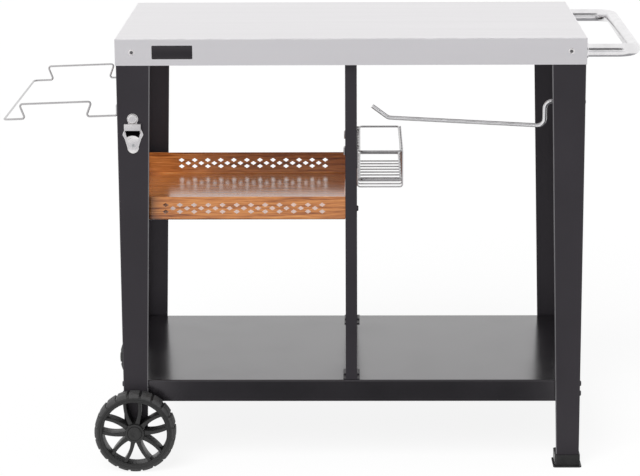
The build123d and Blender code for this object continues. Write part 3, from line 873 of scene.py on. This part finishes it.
@dataclass(frozen=True)
class LegFrame:
    """Four folded legs with the lower shelf, its bolts and the plastic feet."""

    foot_width: float = 44.5
    taper: float = 21.5 / 856.0
    hem: float = 2.6
    hem_sink: float = 0.2
    hem_top: float = 803.0
    left_hem_foot: float = 61.0
    right_hem_foot: float = 27.0
    bolt: Head = Head(11.0, 3.2, Recess.HEXAGON, 6.0)
    bolt_y: float = 237.3
    bolt_heights: tuple[float, float] = (167.0, 147.0)

    def hem_path(self, side: int, end: int) -> WirePath:
        """Line of the lighter strip down the fold inside one leg's face, a painted highlight."""
        ends = (self.left_hem_foot if side < 0 else self.right_hem_foot, self.hem_top)
        fold = LEG_SIDE - self.foot_width + self.hem / 2 - self.hem_sink
        y = end * (LEG_FRONT - self.hem / 2 + self.hem_sink)
        points = [(side * (fold - self.taper * height), y, height) for height in ends]
        return WirePath(points, [0, 0])

    def dress(self, tools: Tools) -> None:
        """Coats the sheets and feet, lays lighter strips on the legs' folds as painted highlights
        and sets the shelf bolts.
        """
        finish = tools.finish
        legs = [f"{end}_{side}_leg" for end in ("front", "rear") for side in ("left", "right")]
        coat(finish.coat, *legs)
        coat(finish.shelf_coat, "lower_shelf")
        coat(finish.plastic, "front_right_foot", "rear_right_foot")
        # Lighter round strips on the inner folds paint the folds' highlight.
        hems = [self.hem_path(side, end) for side in SIDES for end in SIDES]
        painted_highlight = tools.wire.bend("leg_hems", hems, self.hem, finish.hem_coat)
        seat(painted_highlight, Body.CART, Slot.POWDER_COAT)
        spots = [
            (at(side * LEG_SIDE, y * self.bolt_y, height), Vector((side, 0, 0)))
            for side in SIDES
            for y in SIDES
            for height in self.bolt_heights
        ]
        tools.fastener.drive("shelf_bolts", self.bolt, spots, finish.black_bolt, Slot.POWDER_COAT)


@dataclass(frozen=True)
class Divider:
    """Two posts and a rail that stand in the middle of the shelf."""

    bolt: Head = Head(5.0, 2.4, Recess.HEXAGON, 2.8)
    foot_bolt_x: float = 13.6
    foot_height: float = 179.0
    front_bolt_y: float = -216.0
    rear_bolt_y: float = 203.0

    def dress(self, tools: Tools) -> None:
        """Coats the posts and rail, and bolts their foot plates down."""
        coat(tools.finish.coat, "front_post", "rear_post", "basket_rail")
        spots = [
            (at(side * self.foot_bolt_x, y, self.foot_height), UP)
            for side in SIDES
            for y in (self.front_bolt_y, self.rear_bolt_y)
        ]
        black = tools.finish.black_bolt
        tools.fastener.drive("post_foot_bolts", self.bolt, spots, black, Slot.POWDER_COAT)


@dataclass(frozen=True)
class WoodTray:
    """Folded tray with a printed grain and pierced rails, between the left legs and the posts."""

    sheet: float = 1.2
    fold: float = 3.0
    fold_steps: int = 4
    flat_margin: float = 1.0
    columns: int = 12
    first: float = -361.0
    pitch: float = 27.7
    row_height: float = 518.0
    row_pitch: float = 6.7
    diamond: tuple[float, float] = (12.5, 8.6)
    bolt: Head = Head(11.0, 3.4, Recess.HEXAGON, 6.0)
    bolt_y: float = 213.0
    bolt_height: float = 515.5
    post_face: float = 11.0

    def diamonds(self, y: float) -> list[list[Vector]]:
        """Corners of the holes in the rail at a depth, the middle row set off by half a pitch."""
        wide, tall = self.diamond[0] / 2, self.diamond[1] / 2
        holes = []
        for row, shift in ((-1, 0.0), (0, 0.5), (1, 0.0)):
            z = self.row_height + row * self.row_pitch
            for column in range(self.columns - math.ceil(shift)):
                x = self.first + (column + shift) * self.pitch
                corners = ((x - wide, z), (x, z - tall), (x + wide, z), (x, z + tall))
                holes.append([at(across, y, height) for across, height in corners])
        return holes

    def pan(self) -> BMesh:
        """Folds the pan in the row frame, with round folds below and holes in both rails.

        Returns:
            The pan in metres, with a narrow flat strip beside each fold to keep the walls flat.
        """
        work = bmesh.new()
        low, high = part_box("wood_tray")
        fold, flat = self.fold, self.fold + self.flat_margin
        turns = [math.radians(90 * n / self.fold_steps) for n in range(self.fold_steps + 1)]
        bend = [(fold * (1 - math.sin(turn)), fold * (1 - math.cos(turn))) for turn in turns]
        rings = []
        for inset, rise in [(flat, 0), *bend, (0, flat), (0, (high.z - low.z) / MM)]:
            inset, height = inset * MM, low.z + rise * MM
            corners = rectangle(low.x + inset, low.y + inset, high.x - inset, high.y - inset)
            rings.append([work.verts.new((*corner, height)) for corner in corners])
        work.faces.new(rings[0][::-1])
        for near, far in zip(rings, rings[1:]):
            for n, m in ((0, 1), (1, 2), (2, 3), (3, 0)):
                if far is not rings[-1] or n % 2:
                    work.faces.new((near[n], near[m], far[m], far[n]))
        for n, m in ((0, 1), (2, 3)):
            wall = [rings[-2][n], rings[-2][m], rings[-1][m], rings[-1][n]]
            pairs = zip(wall, wall[1:] + wall[:1])
            edges = [work.edges.get(pair) or work.edges.new(pair) for pair in pairs]
            for hole in self.diamonds(wall[0].co.y / MM):
                edges += draw_loop(work, hole)
            bmesh.ops.triangle_fill(work, edges=edges, use_beauty=True)
        bmesh.ops.recalc_face_normals(work, faces=work.faces)
        bmesh.ops.solidify(work, geom=work.faces[:], thickness=self.sheet * MM)
        return work

    def dress(self, tools: Tools) -> None:
        """Folds and prints the tray and sets its bolts."""
        pan = make_piece("tray_pan", self.pan(), Matrix.Identity(4), tools.finish.oak)
        seat(pan, Body.CART, Slot.WOOD_PRINT, "wood_tray")
        spots = [
            (at(x, y * self.bolt_y, self.bolt_height), Vector((math.copysign(1, x), 0, 0)))
            for x in (-LEG_SIDE, self.post_face)
            for y in SIDES
        ]
        black = tools.finish.black_bolt
        tools.fastener.drive("tray_bolts", self.bolt, spots, black, Slot.POWDER_COAT)


@dataclass(frozen=True)
class PushHandle:
    """Polished tube bent twice, seated on collars at the right end of the top."""

    tube: float = 25.0
    seat_x: float = 450.0
    bar_x: float = 542.5
    half_span: float = 240.0
    height: float = 829.0
    bend: float = 34.0
    overlap: float = 0.6
    collar_bore: float = 11.5
    collar_radius: float = 14.5
    collar_thickness: float = 3.0

    def dress(self, tools: Tools) -> None:
        """Bends the tube and turns its collars."""
        start = self.seat_x + self.collar_thickness - self.overlap
        corners = rectangle(start, -self.half_span, self.bar_x, self.half_span)
        points = [(*corner, self.height) for corner in corners]
        path = WirePath(points, [0, self.bend, self.bend, 0])
        tube = tools.wire.bend("handle_tube", [path], self.tube, tools.finish.polished)
        seat(tube, Body.CART, Slot.POLISHED, "push_handle")
        place = facing(at(self.seat_x, 0, self.height), BACK, RIGHT)
        collars = make_piece("handle_seats", self.collars(), place, tools.finish.polished)
        seat(collars, Body.CART, Slot.POLISHED, "handle_collars")

    def collars(self) -> BMesh:
        """Turns one collar and sets it and its twin at the ends of the tube."""
        work = bmesh.new()
        bore, rim, deep = self.collar_bore, self.collar_radius, self.collar_thickness
        profile = [(bore, 0), (rim, 0), (rim, deep - 1.2), (rim - 0.4, deep - 0.4)]
        profile += [(rim - 1.2, deep), (bore, deep), (bore, 0)]
        turn_profile(work, profile, 48)
        first = work.verts[:]
        whole = first + work.edges[:] + work.faces[:]
        twin = pick(bmesh.ops.duplicate(work, geom=whole), BMVert)
        for side, verts in zip(SIDES, (first, twin)):
            bmesh.ops.translate(work, verts=verts, vec=RIGHT * side * self.half_span)
        return work


@dataclass(frozen=True)
class BagRack:
    """Wire loop with a dovetail hump on each arm, hooked through the left legs."""

    wire: float = 4.0
    half_span: float = 228.0
    hook_x: float = -441.3
    pivot: float = 724.0
    hook_rise: float = 13.0
    stand_off: float = 2.3
    step: float = 21.0
    droop: float = 2.0
    hump: tuple[float, float, float, float] = (62.0, 51.0, 191.0, 180.0)
    hump_rise: float = 29.0
    reach: float = 221.0
    bends: tuple[float, ...] = (0.0, 3.0, 2.4, 4.0, 4.6, 4.6, 4.6, 4.6, 8.0)

    def out(self, distance: float, rise: float, end: int) -> Point:
        """Point of an arm at a distance from the leg, with the rack's droop."""
        drop = distance * math.tan(math.radians(self.droop))
        height = self.pivot - self.step + rise - drop
        return (-LEG_SIDE - distance, end * self.half_span, height)

    def arm(self, end: int) -> list[Point]:
        """Corners of one arm, from its hook to its outer end."""
        y = end * self.half_span
        foot_in, top_in, top_out, foot_out = self.hump
        return [
            (self.hook_x, y, self.pivot + self.hook_rise),
            (self.hook_x, y, self.pivot),
            (-LEG_SIDE - self.stand_off, y, self.pivot),
            self.out(self.stand_off, 0, end),
            self.out(foot_in, 0, end),
            self.out(top_in, self.hump_rise, end),
            self.out(top_out, self.hump_rise, end),
            self.out(foot_out, 0, end),
            self.out(self.reach, 0, end),
        ]

    def dress(self, tools: Tools) -> None:
        """Bends the rack."""
        path = WirePath(self.arm(-1) + self.arm(1)[::-1], [*self.bends, *self.bends[::-1]])
        rack = tools.wire.bend("bag_rack_wire", [path], self.wire, tools.finish.wire)
        seat(rack, Body.BAG_RACK, Slot.POLISHED, "bag_rack")


@dataclass(frozen=True)
class TowelRod:
    """Cranked rod for a paper roll, with the plate that holds it inside the right front leg."""

    rod: float = 8.0
    y: float = -222.8
    plate_x: float = 445.3
    height: float = 728.0
    crank_x: float = 373.3
    bend: float = 14.0
    overlap: float = 0.5
    run: tuple[tuple[float, float], ...] = ((0.0, 0.0), (0.0, 48.0), (301.0, 31.5), (332.0, 8.5))
    plate: float = 32.0
    plate_corner: float = 4.0
    plate_edge: float = 0.5
    sheet: float = 2.0
    screw: Head = Head(8.0, 2.2, Recess.CROSS, 4.6)
    screw_shift: float = 9.0

    def dress(self, tools: Tools) -> None:
        """Bends the rod, cuts its plate and sets the plate's screws."""
        points = [(self.plate_x + self.overlap, self.y, self.height)]
        points += [(self.crank_x - along, self.y, self.height - drop) for along, drop in self.run]
        path = WirePath(points, [0, self.bend, self.bend, self.bend, 0])
        rod = tools.wire.bend("towel_rod_bar", [path], self.rod, tools.finish.polished)
        seat(rod, Body.CART, Slot.POLISHED, "towel_rod")
        place = facing(at(self.plate_x + self.sheet, self.y, self.height), FRONT, LEFT)
        work = bmesh.new()
        outline = rounded_box(self.plate, self.plate, self.plate_corner)
        raise_outline(work, [outline], 0, self.sheet, self.plate_edge)
        plate = make_piece("towel_rod_plate", work, place, tools.finish.polished)
        seat(plate, Body.CART, Slot.POLISHED)
        spots = [
            (at(LEG_SIDE, self.y + side * self.screw_shift, self.height), RIGHT)
            for side in SIDES
        ]
        black = tools.finish.black_bolt
        tools.fastener.drive("towel_plate_screws", self.screw, spots, black, Slot.POWDER_COAT)


@dataclass(frozen=True)
class SpiceBasket:
    """Wire basket of two rings and cross wires, hung on the rail."""

    ring_wire: float = 4.0
    cross_wire: float = 3.0
    left: float = 16.35
    right: float = 97.35
    front: float = -162.0
    rear: float = 104.0
    top: float = 618.0
    lower: float = 562.0
    floor: float = 546.5
    corner: float = 6.0
    cross_outset: float = 3.55
    cross_rise: float = 2.0
    cross_bend: float = 5.0
    cross_count: int = 10
    cross_first: float = -157.0
    cross_pitch: float = 28.44
    hooks: tuple[float, float] = (-114.0, 56.0)
    hook_x: float = -13.3
    hook_drop: float = 16.0
    hook_bend: float = 2.4

    def ring(self, height: float) -> WirePath:
        """Closed ring of the basket at a height."""
        corners = rectangle(self.left, self.front, self.right, self.rear)
        return WirePath([(*corner, height) for corner in corners], [self.corner] * 4, True)

    def hook(self, y: float) -> WirePath:
        """Hook from the top ring over the rail."""
        ends = ((self.left, 0), (self.hook_x, 0), (self.hook_x, self.hook_drop))
        return WirePath([(x, y, self.top - drop) for x, drop in ends], [0, self.hook_bend, 0])

    def cross(self) -> WirePath:
        """First of the wires that run down one side, under the floor and up the other."""
        left, right = self.left - self.cross_outset, self.right + self.cross_outset
        top = self.top + self.cross_rise
        ends = ((left, top), (left, self.floor), (right, self.floor), (right, top))
        points = [(x, self.cross_first, height) for x, height in ends]
        return WirePath(points, [0, self.cross_bend, self.cross_bend, 0])

    def dress(self, tools: Tools) -> None:
        """Bends the rings and hooks, and repeats the cross wires."""
        paths = [self.ring(self.top), self.ring(self.lower)]
        paths += [self.hook(y) for y in self.hooks]
        rings = tools.wire.bend("basket_frame", paths, self.ring_wire, tools.finish.wire)
        seat(rings, Body.SPICE_BASKET, Slot.POLISHED, "basket_rings")
        wires = tools.wire.bend(
            "basket_cross_wires", [self.cross()], self.cross_wire, tools.finish.plated,
            self.cross_count, self.cross_pitch,
        )
        seat(wires, Body.SPICE_BASKET, Slot.POLISHED, "basket_wires")


@dataclass(frozen=True)
class BottleOpener:
    """Cast opener on the left front leg: a lobed plate, a lipped hood and a bowed tooth."""

    middle_x: float = -418.6
    foot: float = 633.5
    sheet: float = 2.5
    out: float = 11.9
    half: float = 16.0
    ear: float = 20.0
    lobe: float = 11.0
    head: float = 10.8
    head_height: float = 67.0
    crest: float = 35.2
    tooth_half: float = 11.8
    tooth_rise: float = 3.8
    tooth_steps: int = 8
    hood_foot: float = 46.2
    hood_top: float = 59.0
    hood_bend: float = 2.8
    hood_seat: float = 0.2
    cheek: float = 2.4
    mouth: tuple[float, float, float] = (14.2, 40.0, 50.0)
    # Half width, foot and top of the dark sheet behind the mouth, which paints the mouth's shade.
    back: tuple[float, float, float] = (14.6, 30.0, 51.0)
    back_faces: tuple[float, float] = (0.05, 0.4)
    screw: Head = Head(18.8, 4.0, Recess.CROSS, 9.0)
    screw_height: float = 67.5
    pin: Head = Head(7.0, 0.8, Recess.SLOT, 6.4)
    pin_height: float = 15.5

    @property
    def bow(self) -> tuple[float, float, float]:
        """Radius, centre height and half swing in degrees of the tooth's bow."""
        radius = (self.tooth_half**2 + self.tooth_rise**2) / (2 * self.tooth_rise)
        return radius, self.crest - radius, math.degrees(math.asin(self.tooth_half / radius))

    def dress(self, tools: Tools) -> None:
        """Casts the opener and sets its screws."""
        finish = tools.finish
        origin = at(self.middle_x, -LEG_FRONT, self.foot)
        face, side = facing(origin, RIGHT, FRONT), facing(origin, FRONT, LEFT)
        for name, work, place, material, *nodes in (
            ("opener_plate", self.plate(), face, finish.satin, "bottle_opener"),
            ("opener_tooth", self.tooth(), face, finish.satin),
            # The hood's darker cast steel is painted shade.
            ("opener_hood", self.hood(), side, finish.hood),
            # The dark sheet behind the mouth is painted shade.
            ("opener_backing", self.mouth_shade(), face, finish.mouth_shade),
        ):
            seat(make_piece(name, work, place, material), Body.CART, Slot.SATIN, *nodes)
        for name, head, height, material in (
            ("opener_screw", self.screw, self.screw_height, finish.satin),
            ("opener_pin", self.pin, self.pin_height, finish.zinc),
        ):
            spot = at(self.middle_x, -LEG_FRONT - self.sheet, self.foot + height)
            tools.fastener.drive(name, head, [(spot, FRONT)], material, Slot.SATIN)

    def plate(self) -> BMesh:
        """Cuts the lobed plate with the mouth in it."""
        right = [(16.0, 28.5), (self.ear, 36.0), (self.ear - 0.4, 38.6)]
        right += [(self.half, 47.0), (self.half - 0.3, 57.6), (9.0, 58.2)]
        left = [(-x, y) for x, y in reversed(right)]
        outline = arc((0, self.lobe), self.lobe, -180, 10, 16) + right
        outline += arc((0, self.head_height), self.head, -38, 218, 24) + left
        radius, centre, swing = self.bow
        wide, low, high = self.mouth
        mouth = arc((0, centre), radius, 90 - swing, 90 + swing, 10)
        mouth += [(-wide, low), (-wide, high), (wide, high), (wide, low)]
        work = bmesh.new()
        raise_outline(work, [outline, mouth], 0, self.sheet, 0.7)
        return work

    def mouth_shade(self) -> BMesh:
        """Cuts the thin dark plate behind the mouth, which paints the mouth's shade."""
        wide, low, high = self.back
        work = bmesh.new()
        raise_outline(work, [rectangle(-wide, low, wide, high)], *self.back_faces)
        return work

    def tooth(self) -> BMesh:
        """Shapes the bowed tooth that rises from the plate to its lip."""
        section = [(-6.5, self.sheet - 0.4), (-4.4, 2.7), (-1.6, 5.4), (-0.4, 6.0), (0.3, 5.6)]
        section += [(0.5, 4.6), (0.4, 0.4), (-6.5, 0.4)]
        radius, centre, swing = self.bow
        steps = self.tooth_steps
        turns = [90 - swing + swing * n / steps for n in range(2 * steps + 1)]
        work = bmesh.new()
        sweep_section(work, [(radius + rise, deep) for rise, deep in section], (0, centre), turns)
        return work

    def hood(self) -> BMesh:
        """Folds the hood over the mouth, with a cheek at each side."""
        top, foot, out, sheet = self.hood_top, self.hood_foot, self.out, self.sheet
        bend, inside = self.hood_bend, self.hood_seat
        centre = (out - bend, top - bend)
        outer, inner = arc(centre, bend, 90, 0, 6), arc(centre, bend - sheet, 0, 90, 3)
        hood = [(inside, top), *outer, (out, foot), (out - sheet, foot), *inner]
        hood += [(inside, top - sheet)]
        cheek = [(inside, top - 1), (out - 3.0, top - 3.5), (out - 0.8, foot + 1.0)]
        cheek += [(3.4, 39.0), (inside, 37.0)]
        work = bmesh.new()
        raise_outline(work, [hood], -self.half, self.half, 0.6)
        for side in SIDES:
            ends = sorted((side * self.half * 0.985, side * (self.half - self.cheek)))
            raise_outline(work, [cheek], *ends, 0.5)
        return work


@dataclass(frozen=True)
class Wheel:
    """Moulded wheel with tread blocks, paired spokes and a pressed hub cap."""

    end: End
    axle_x: float = -425.545
    inner_face: float = 256.8
    radius: float = 80.0
    width: float = 34.0
    rim_inner: float = 63.0
    block_count: int = 20
    block_depth: float = 2.4
    block_gap: float = 4.5
    block_edge: float = 0.9
    shoulder_drop: float = 6.8
    shoulder_reach: float = 11.0
    groove: float = 2.2
    spoke_pairs: int = 5
    spoke_steps: int = 12
    spoke: float = 6.2
    spoke_flare: float = 3.0
    spoke_overlap: float = 1.5
    spoke_set_back: float = 4.0
    spoke_edge: float = 0.8
    spreads: tuple[float, float, float] = (6.2, 13.4, 14.2)
    lean: float = 4.0
    inside: float = 0.4
    hub_radius: float = 19.0
    hub_foot: float = -2.7
    hub_well: float = 13.0
    cap_radius: float = 14.0
    bore: float = 5.05

    @property
    def body(self) -> Body:
        """Body that the wheel turns with."""
        return Body[f"{self.end.name}_WHEEL"]

    @property
    def place(self) -> Matrix:
        """Placing of the wheel's sketch on its inner face."""
        side = self.end.value
        middle = at(self.axle_x, side * self.inner_face, self.radius)
        return facing(middle, Vector((-side, 0, 0)), Vector((0, side, 0)))

    def dress(self, tools: Tools) -> None:
        """Builds the rim with its hub, the tread, the spokes and the cap."""
        label, plastic = self.end.name.lower(), tools.finish.plastic
        tyre = make_piece(f"{label}_rim_and_hub", self.rim_and_hub(), self.place, plastic)
        seat(tyre, self.body, Slot.PLASTIC, f"{label}_wheel")
        for name, work, count, material in (
            ("tread_blocks", self.tread_block(), self.block_count, tools.finish.tread),
            ("spokes", self.spoke_pair(), self.spoke_pairs, plastic),
        ):
            ring = tools.ring.repeat(f"{label}_{name}", work, count, self.place, material)
            seat(ring, self.body, Slot.PLASTIC)
        cap = make_piece(f"{label}_cap", self.hub_cap(), self.place, plastic)
        seat(cap, self.body, Slot.PLASTIC, f"{label}_hub_cap")

    def rim_and_hub(self) -> BMesh:
        """Turns the rim's ring and the hub."""
        work = bmesh.new()
        inner, outer, deep = self.rim_inner, self.radius - self.block_depth, self.width
        rim = [
            (inner, 1.0), (inner + 1, 0), (outer - 1.5, 0), (outer, 1.5),
            *self.shoulder(outer, self.shoulder_drop - 1.4, deep), (inner + 6.4, deep),
            (inner + 5.6, deep - 1.0), (inner + 2.8, deep - 1.2), (inner + 2.2, deep - 0.6),
            (inner + 1.2, deep - 0.6), (inner + 0.4, deep - 1.2), (inner, deep - 2.4), (inner, 1.0),
        ]
        turn_profile(work, rim, 120)
        hub, cap, foot, well = self.hub_radius, self.cap_radius, self.hub_foot, deep - self.hub_well
        core = [
            (self.bore, foot), (hub, foot), (hub, deep - 1.4), (hub - 0.5, deep - 0.4),
            (hub - 1.4, deep), (cap + 0.9, deep), (cap + 0.2, deep - 0.6), (cap + 0.05, well),
            (self.bore, well), (self.bore, foot),
        ]
        turn_profile(work, core)
        return work

    def shoulder(self, radius: float, drop: float, face: float) -> Outline:
        """Rounded shoulder from the tread at a radius to the wheel's outer face.

        Args:
            radius: Radius of the tread.
            drop: How much smaller the face is.
            face: Height of the face.

        Returns:
            Radius and height of each point.
        """
        turns = [math.radians(15 * n) for n in range(7)]
        return [
            (radius - drop * (1 - math.cos(t)), face - self.shoulder_reach * (1 - math.sin(t)))
            for t in turns
        ]

    def tread_block(self) -> BMesh:
        """Shapes one block of the tread, with a groove across it and a rounded shoulder."""
        half = 180 / self.block_count - math.degrees(self.block_gap / 2 / self.radius)
        low, face = self.radius - self.shoulder_drop - 1.6, self.width - 0.2
        near, far = self.width / 2 - self.groove / 2, self.width / 2 + self.groove / 2
        inside = rectangle(low, self.inside, self.radius, near)
        outside = [(low, far), (self.radius, far)]
        outside += self.shoulder(self.radius, self.shoulder_drop, face) + [(low, face)]
        turns = [half * n / 3 for n in range(-3, 4)]
        work = bmesh.new()
        for section in (inside, outside):
            sweep_section(work, section, (0, 0), turns)
        bmesh.ops.recalc_face_normals(work, faces=work.faces)
        rims = [
            edge for edge in work.edges
            if all(vert.co.xy.length > low + 1 for vert in edge.verts)
            and edge.calc_face_angle(0) > 0.6
        ]
        bmesh.ops.bevel(
            work, geom=rims, offset=self.block_edge, segments=2, profile=0.5, affect="EDGES"
        )
        bmesh.ops.remove_doubles(work, verts=work.verts, dist=BEVEL_MERGE)
        bmesh.ops.dissolve_degenerate(work, edges=work.edges, dist=BEVEL_MERGE)
        return work

    def spoke_pair(self) -> BMesh:
        """Shapes the two bowed spokes that stand together."""
        work = bmesh.new()
        root, tip = self.hub_radius - self.spoke_overlap, self.rim_inner + self.spoke_overlap
        turn = Matrix.Rotation(math.radians(90 + self.lean), 2)
        near, waist, far = self.spreads
        last, face = self.spoke_steps, self.width - self.spoke_set_back
        for side in SIDES:
            spine = []
            for n in range(last + 1):
                share = n / last
                spread = near * (1 - share) * (1 - 2 * share) + 4 * waist * share * (1 - share)
                spread += far * share * (2 * share - 1)
                spine.append(Vector((root + (tip - root) * share, side * spread)))
            left, right = [], []
            for n, point in enumerate(spine):
                run = spine[min(n + 1, last)] - spine[max(n - 1, 0)]
                width = self.spoke + self.spoke_flare * (1 - n / last) ** 3
                aside = Vector((-run.y, run.x)).normalized() * width / 2
                left.append(tuple(turn @ (point + aside)))
                right.append(tuple(turn @ (point - aside)))
            raise_outline(work, [left + right[::-1]], self.inside, face, self.spoke_edge)
        return work

    def hub_cap(self) -> BMesh:
        """Turns the cap with a shallow dimple in its middle."""
        work = bmesh.new()
        edge, deep = self.cap_radius - 0.1, self.width
        profile = [
            (0, deep - 3), (edge, deep - 3), (edge, deep - 0.9), (edge - 0.4, deep - 0.3),
            (edge - 1.2, deep - 0.05), (7.5, deep - 0.05), (6.4, deep - 0.35), (5.6, deep - 1.0),
            (0, deep - 1.2),
        ]
        turn_profile(work, profile, 64)
        return work


@dataclass(frozen=True)
class AxleSet:
    """Plated axle with the nuts on its ends."""

    def dress(self, tools: Tools) -> None:
        """Plates the axle and its nuts."""
        coat(tools.finish.zinc, "axle", "axle_nuts")


class Paint(NodeWork):
    """A studio material with a plain shader of its own."""

    def __init__(self, name: str) -> None:
        """Starts a material."""
        self.material = bpy.data.materials.new(name)
        self.material.use_nodes = True
        super().__init__(self.material.node_tree)
        self.tree.nodes.remove(self.tree.nodes["Principled BSDF"])

    def spread(self, name: str, shader: Node, low: Point, high: Point) -> Object:
        """Ends the material and lays it on one flat sheet of the studio.

        Args:
            name: Name of the sheet.
            shader: Shader of the material.
            low: Left end of the sheet's near or lower edge, in metres.
            high: Right end of its far or upper edge, in metres.

        Returns:
            The sheet.
        """
        self.join(shader, self.tree.nodes["Material Output"].inputs["Surface"])
        edges = ((low[0], low), (high[0], low), (high[0], high), (low[0], high))
        mesh = bpy.data.meshes.new(name)
        mesh.from_pydata([(x, y, z) for x, (_, y, z) in edges], [], [(0, 1, 2, 3)])
        mesh.materials.append(self.material)
        sheet = add_mesh(name, mesh)
        return sheet


@dataclass(frozen=True)
class Cloth:
    """Dark cloth that only metal and gloss show, by two opposite corners in metres and a tone."""

    name: str
    low: Point
    high: Point
    tone: float

    def hang(self) -> None:
        """Hangs or lays the cloth."""
        paint = Paint(self.name)
        colour = (self.tone, self.tone, self.tone * 1.04, 1)
        dull = paint.put("ShaderNodeEmission", {"Color": colour, "Strength": 1.0})
        cloth = paint.spread(self.name, dull, self.low, self.high)
        cloth.visible_camera = cloth.visible_diffuse = cloth.visible_shadow = False
        cloth.visible_transmission = False


@dataclass(frozen=True)
class Studio:
    """White floor and surround, a soft lamp, dark cloths out of sight, and the camera."""

    lens: float = 138.42
    sensor: float = 36.0
    stand: Point = (0.076021, -4.897034, 1.551411)
    pitch: float = 13.16128
    yaw: float = -0.96104
    roll: float = 0.31040
    floor_reach: float = 30.0
    floor_tone: float = 0.13
    floor_glow: float = 0.885
    sky: float = 0.3
    lamp: float = 2.95
    lamp_angle: float = 40.0
    lamp_side: Point = (-0.28, -0.8, 0.78)
    cloths: tuple[Cloth, ...] = (
        Cloth("wall_cloth", (-1.9, -6.3, 3.0), (2.2, -6.3, 7.4), 0.3),
        Cloth("handle_card", (0.46, -2.5, 1.3), (1.9, -2.5, 3.3), 0.06),
        Cloth("front_cloth", (-0.35, -1.3, 0.002), (0.5, -0.55, 0.002), 0.24),
        Cloth("far_cloth", (-2.5, -14.0, 0.002), (2.5, -2.3, 0.002), 0.62),
        Cloth("handle_cloth", (0.46, -0.33, 0.002), (1.4, 1.3, 0.002), 0.36),
    )

    def build(self) -> None:
        """Sets up the floor, the light and the camera."""
        scene = bpy.context.scene
        scene.view_settings.view_transform = "Standard"
        self.light_surround(scene)
        self.lay_floor()
        for cloth in self.cloths:
            cloth.hang()
        self.hang_lamp()
        scene.camera = self.set_camera()

    @staticmethod
    def seen(work: NodeWork, unseen: float, shown: float) -> Node:
        """Number that differs for what the camera, metal and glass see.

        Args:
            work: Tree that it goes in.
            unseen: Number for other light.
            shown: Number for what is seen.

        Returns:
            The number.
        """
        path = work.put("ShaderNodeLightPath", {}).outputs
        metal = work.reckon("MAXIMUM", path["Is Camera Ray"], path["Is Glossy Ray"])
        glass = work.reckon("MAXIMUM", metal, path["Is Transmission Ray"])
        span = {"Value": glass, "To Min": unseen, "To Max": shown}
        return work.put("ShaderNodeMapRange", span)

    def light_surround(self, scene: Scene) -> None:
        """Makes the surround white to the eye and softer as a light."""
        world = bpy.data.worlds.new("white_surround")
        world.use_nodes = True
        scene.world = world
        work = NodeWork(world.node_tree)
        back = world.node_tree.nodes["Background"]
        back.inputs["Color"].default_value = (1, 1, 1, 1)
        work.join(self.seen(work, self.sky, 1.0), back.inputs["Strength"])

    def lay_floor(self) -> None:
        """Lays a pale floor that keeps the cart's shadow."""
        reach, tone = self.floor_reach, self.floor_tone
        paint = Paint("floor_paint")
        matt = paint.put("ShaderNodeBsdfDiffuse", {"Color": (tone, tone, tone, 1)})
        glow = {"Strength": self.seen(paint, 0.0, self.floor_glow)}
        both = paint.put("ShaderNodeAddShader", {0: matt, 1: paint.put("ShaderNodeEmission", glow)})
        paint.spread("studio_floor", both, (-reach, -reach, 0), (reach, reach, 0))

    def hang_lamp(self) -> None:
        """Hangs a wide soft lamp high at the front left."""
        lamp = bpy.data.lights.new("soft_lamp", "SUN")
        lamp.energy = self.lamp
        lamp.angle = math.radians(self.lamp_angle)
        holder = bpy.data.objects.new("soft_lamp", lamp)
        holder.rotation_euler = Vector(self.lamp_side).to_track_quat("Z", "Y").to_euler()
        holder.visible_glossy = False
        bpy.context.scene.collection.objects.link(holder)

    def set_camera(self) -> Object:
        """Sets the camera where the photograph was taken from.

        Returns:
            The camera.
        """
        lens = bpy.data.cameras.new("photo_camera")
        lens.sensor_fit = "HORIZONTAL"
        lens.sensor_width = self.sensor
        lens.lens = self.lens
        pitch, yaw, roll = (math.radians(turn) for turn in (self.pitch, self.yaw, self.roll))
        ahead = Vector(
            (math.sin(yaw) * math.cos(pitch), math.cos(yaw) * math.cos(pitch), -math.sin(pitch))
        )
        right = Vector((math.cos(yaw), -math.sin(yaw), 0))
        down = ahead.cross(right)
        across = math.cos(roll) * right + math.sin(roll) * down
        below = math.cos(roll) * down - math.sin(roll) * right
        turn = Matrix((across, -below, -ahead)).transposed().to_4x4()
        camera = bpy.data.objects.new("photo_camera", lens)
        camera.matrix_world = Matrix.Translation(self.stand) @ turn
        bpy.context.scene.collection.objects.link(camera)
        return camera


def main() -> None:
    """Builds and dresses the cart, then sets up the studio."""
    logging.basicConfig(level=logging.INFO, format="%(name)s: %(message)s")
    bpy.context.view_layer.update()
    Studio().build()
    tools = Tools(Finishes(), WireTree(), RingTree(), FastenerTree())
    assemblies = (
        Worktop(), LegFrame(), Divider(), WoodTray(), PushHandle(), BagRack(), TowelRod(),
        SpiceBasket(), BottleOpener(), AxleSet(), Wheel(End.FRONT), Wheel(End.REAR),
    )
    for assembly in assemblies:
        assembly.dress(tools)


if __name__ == "__main__":
    main()
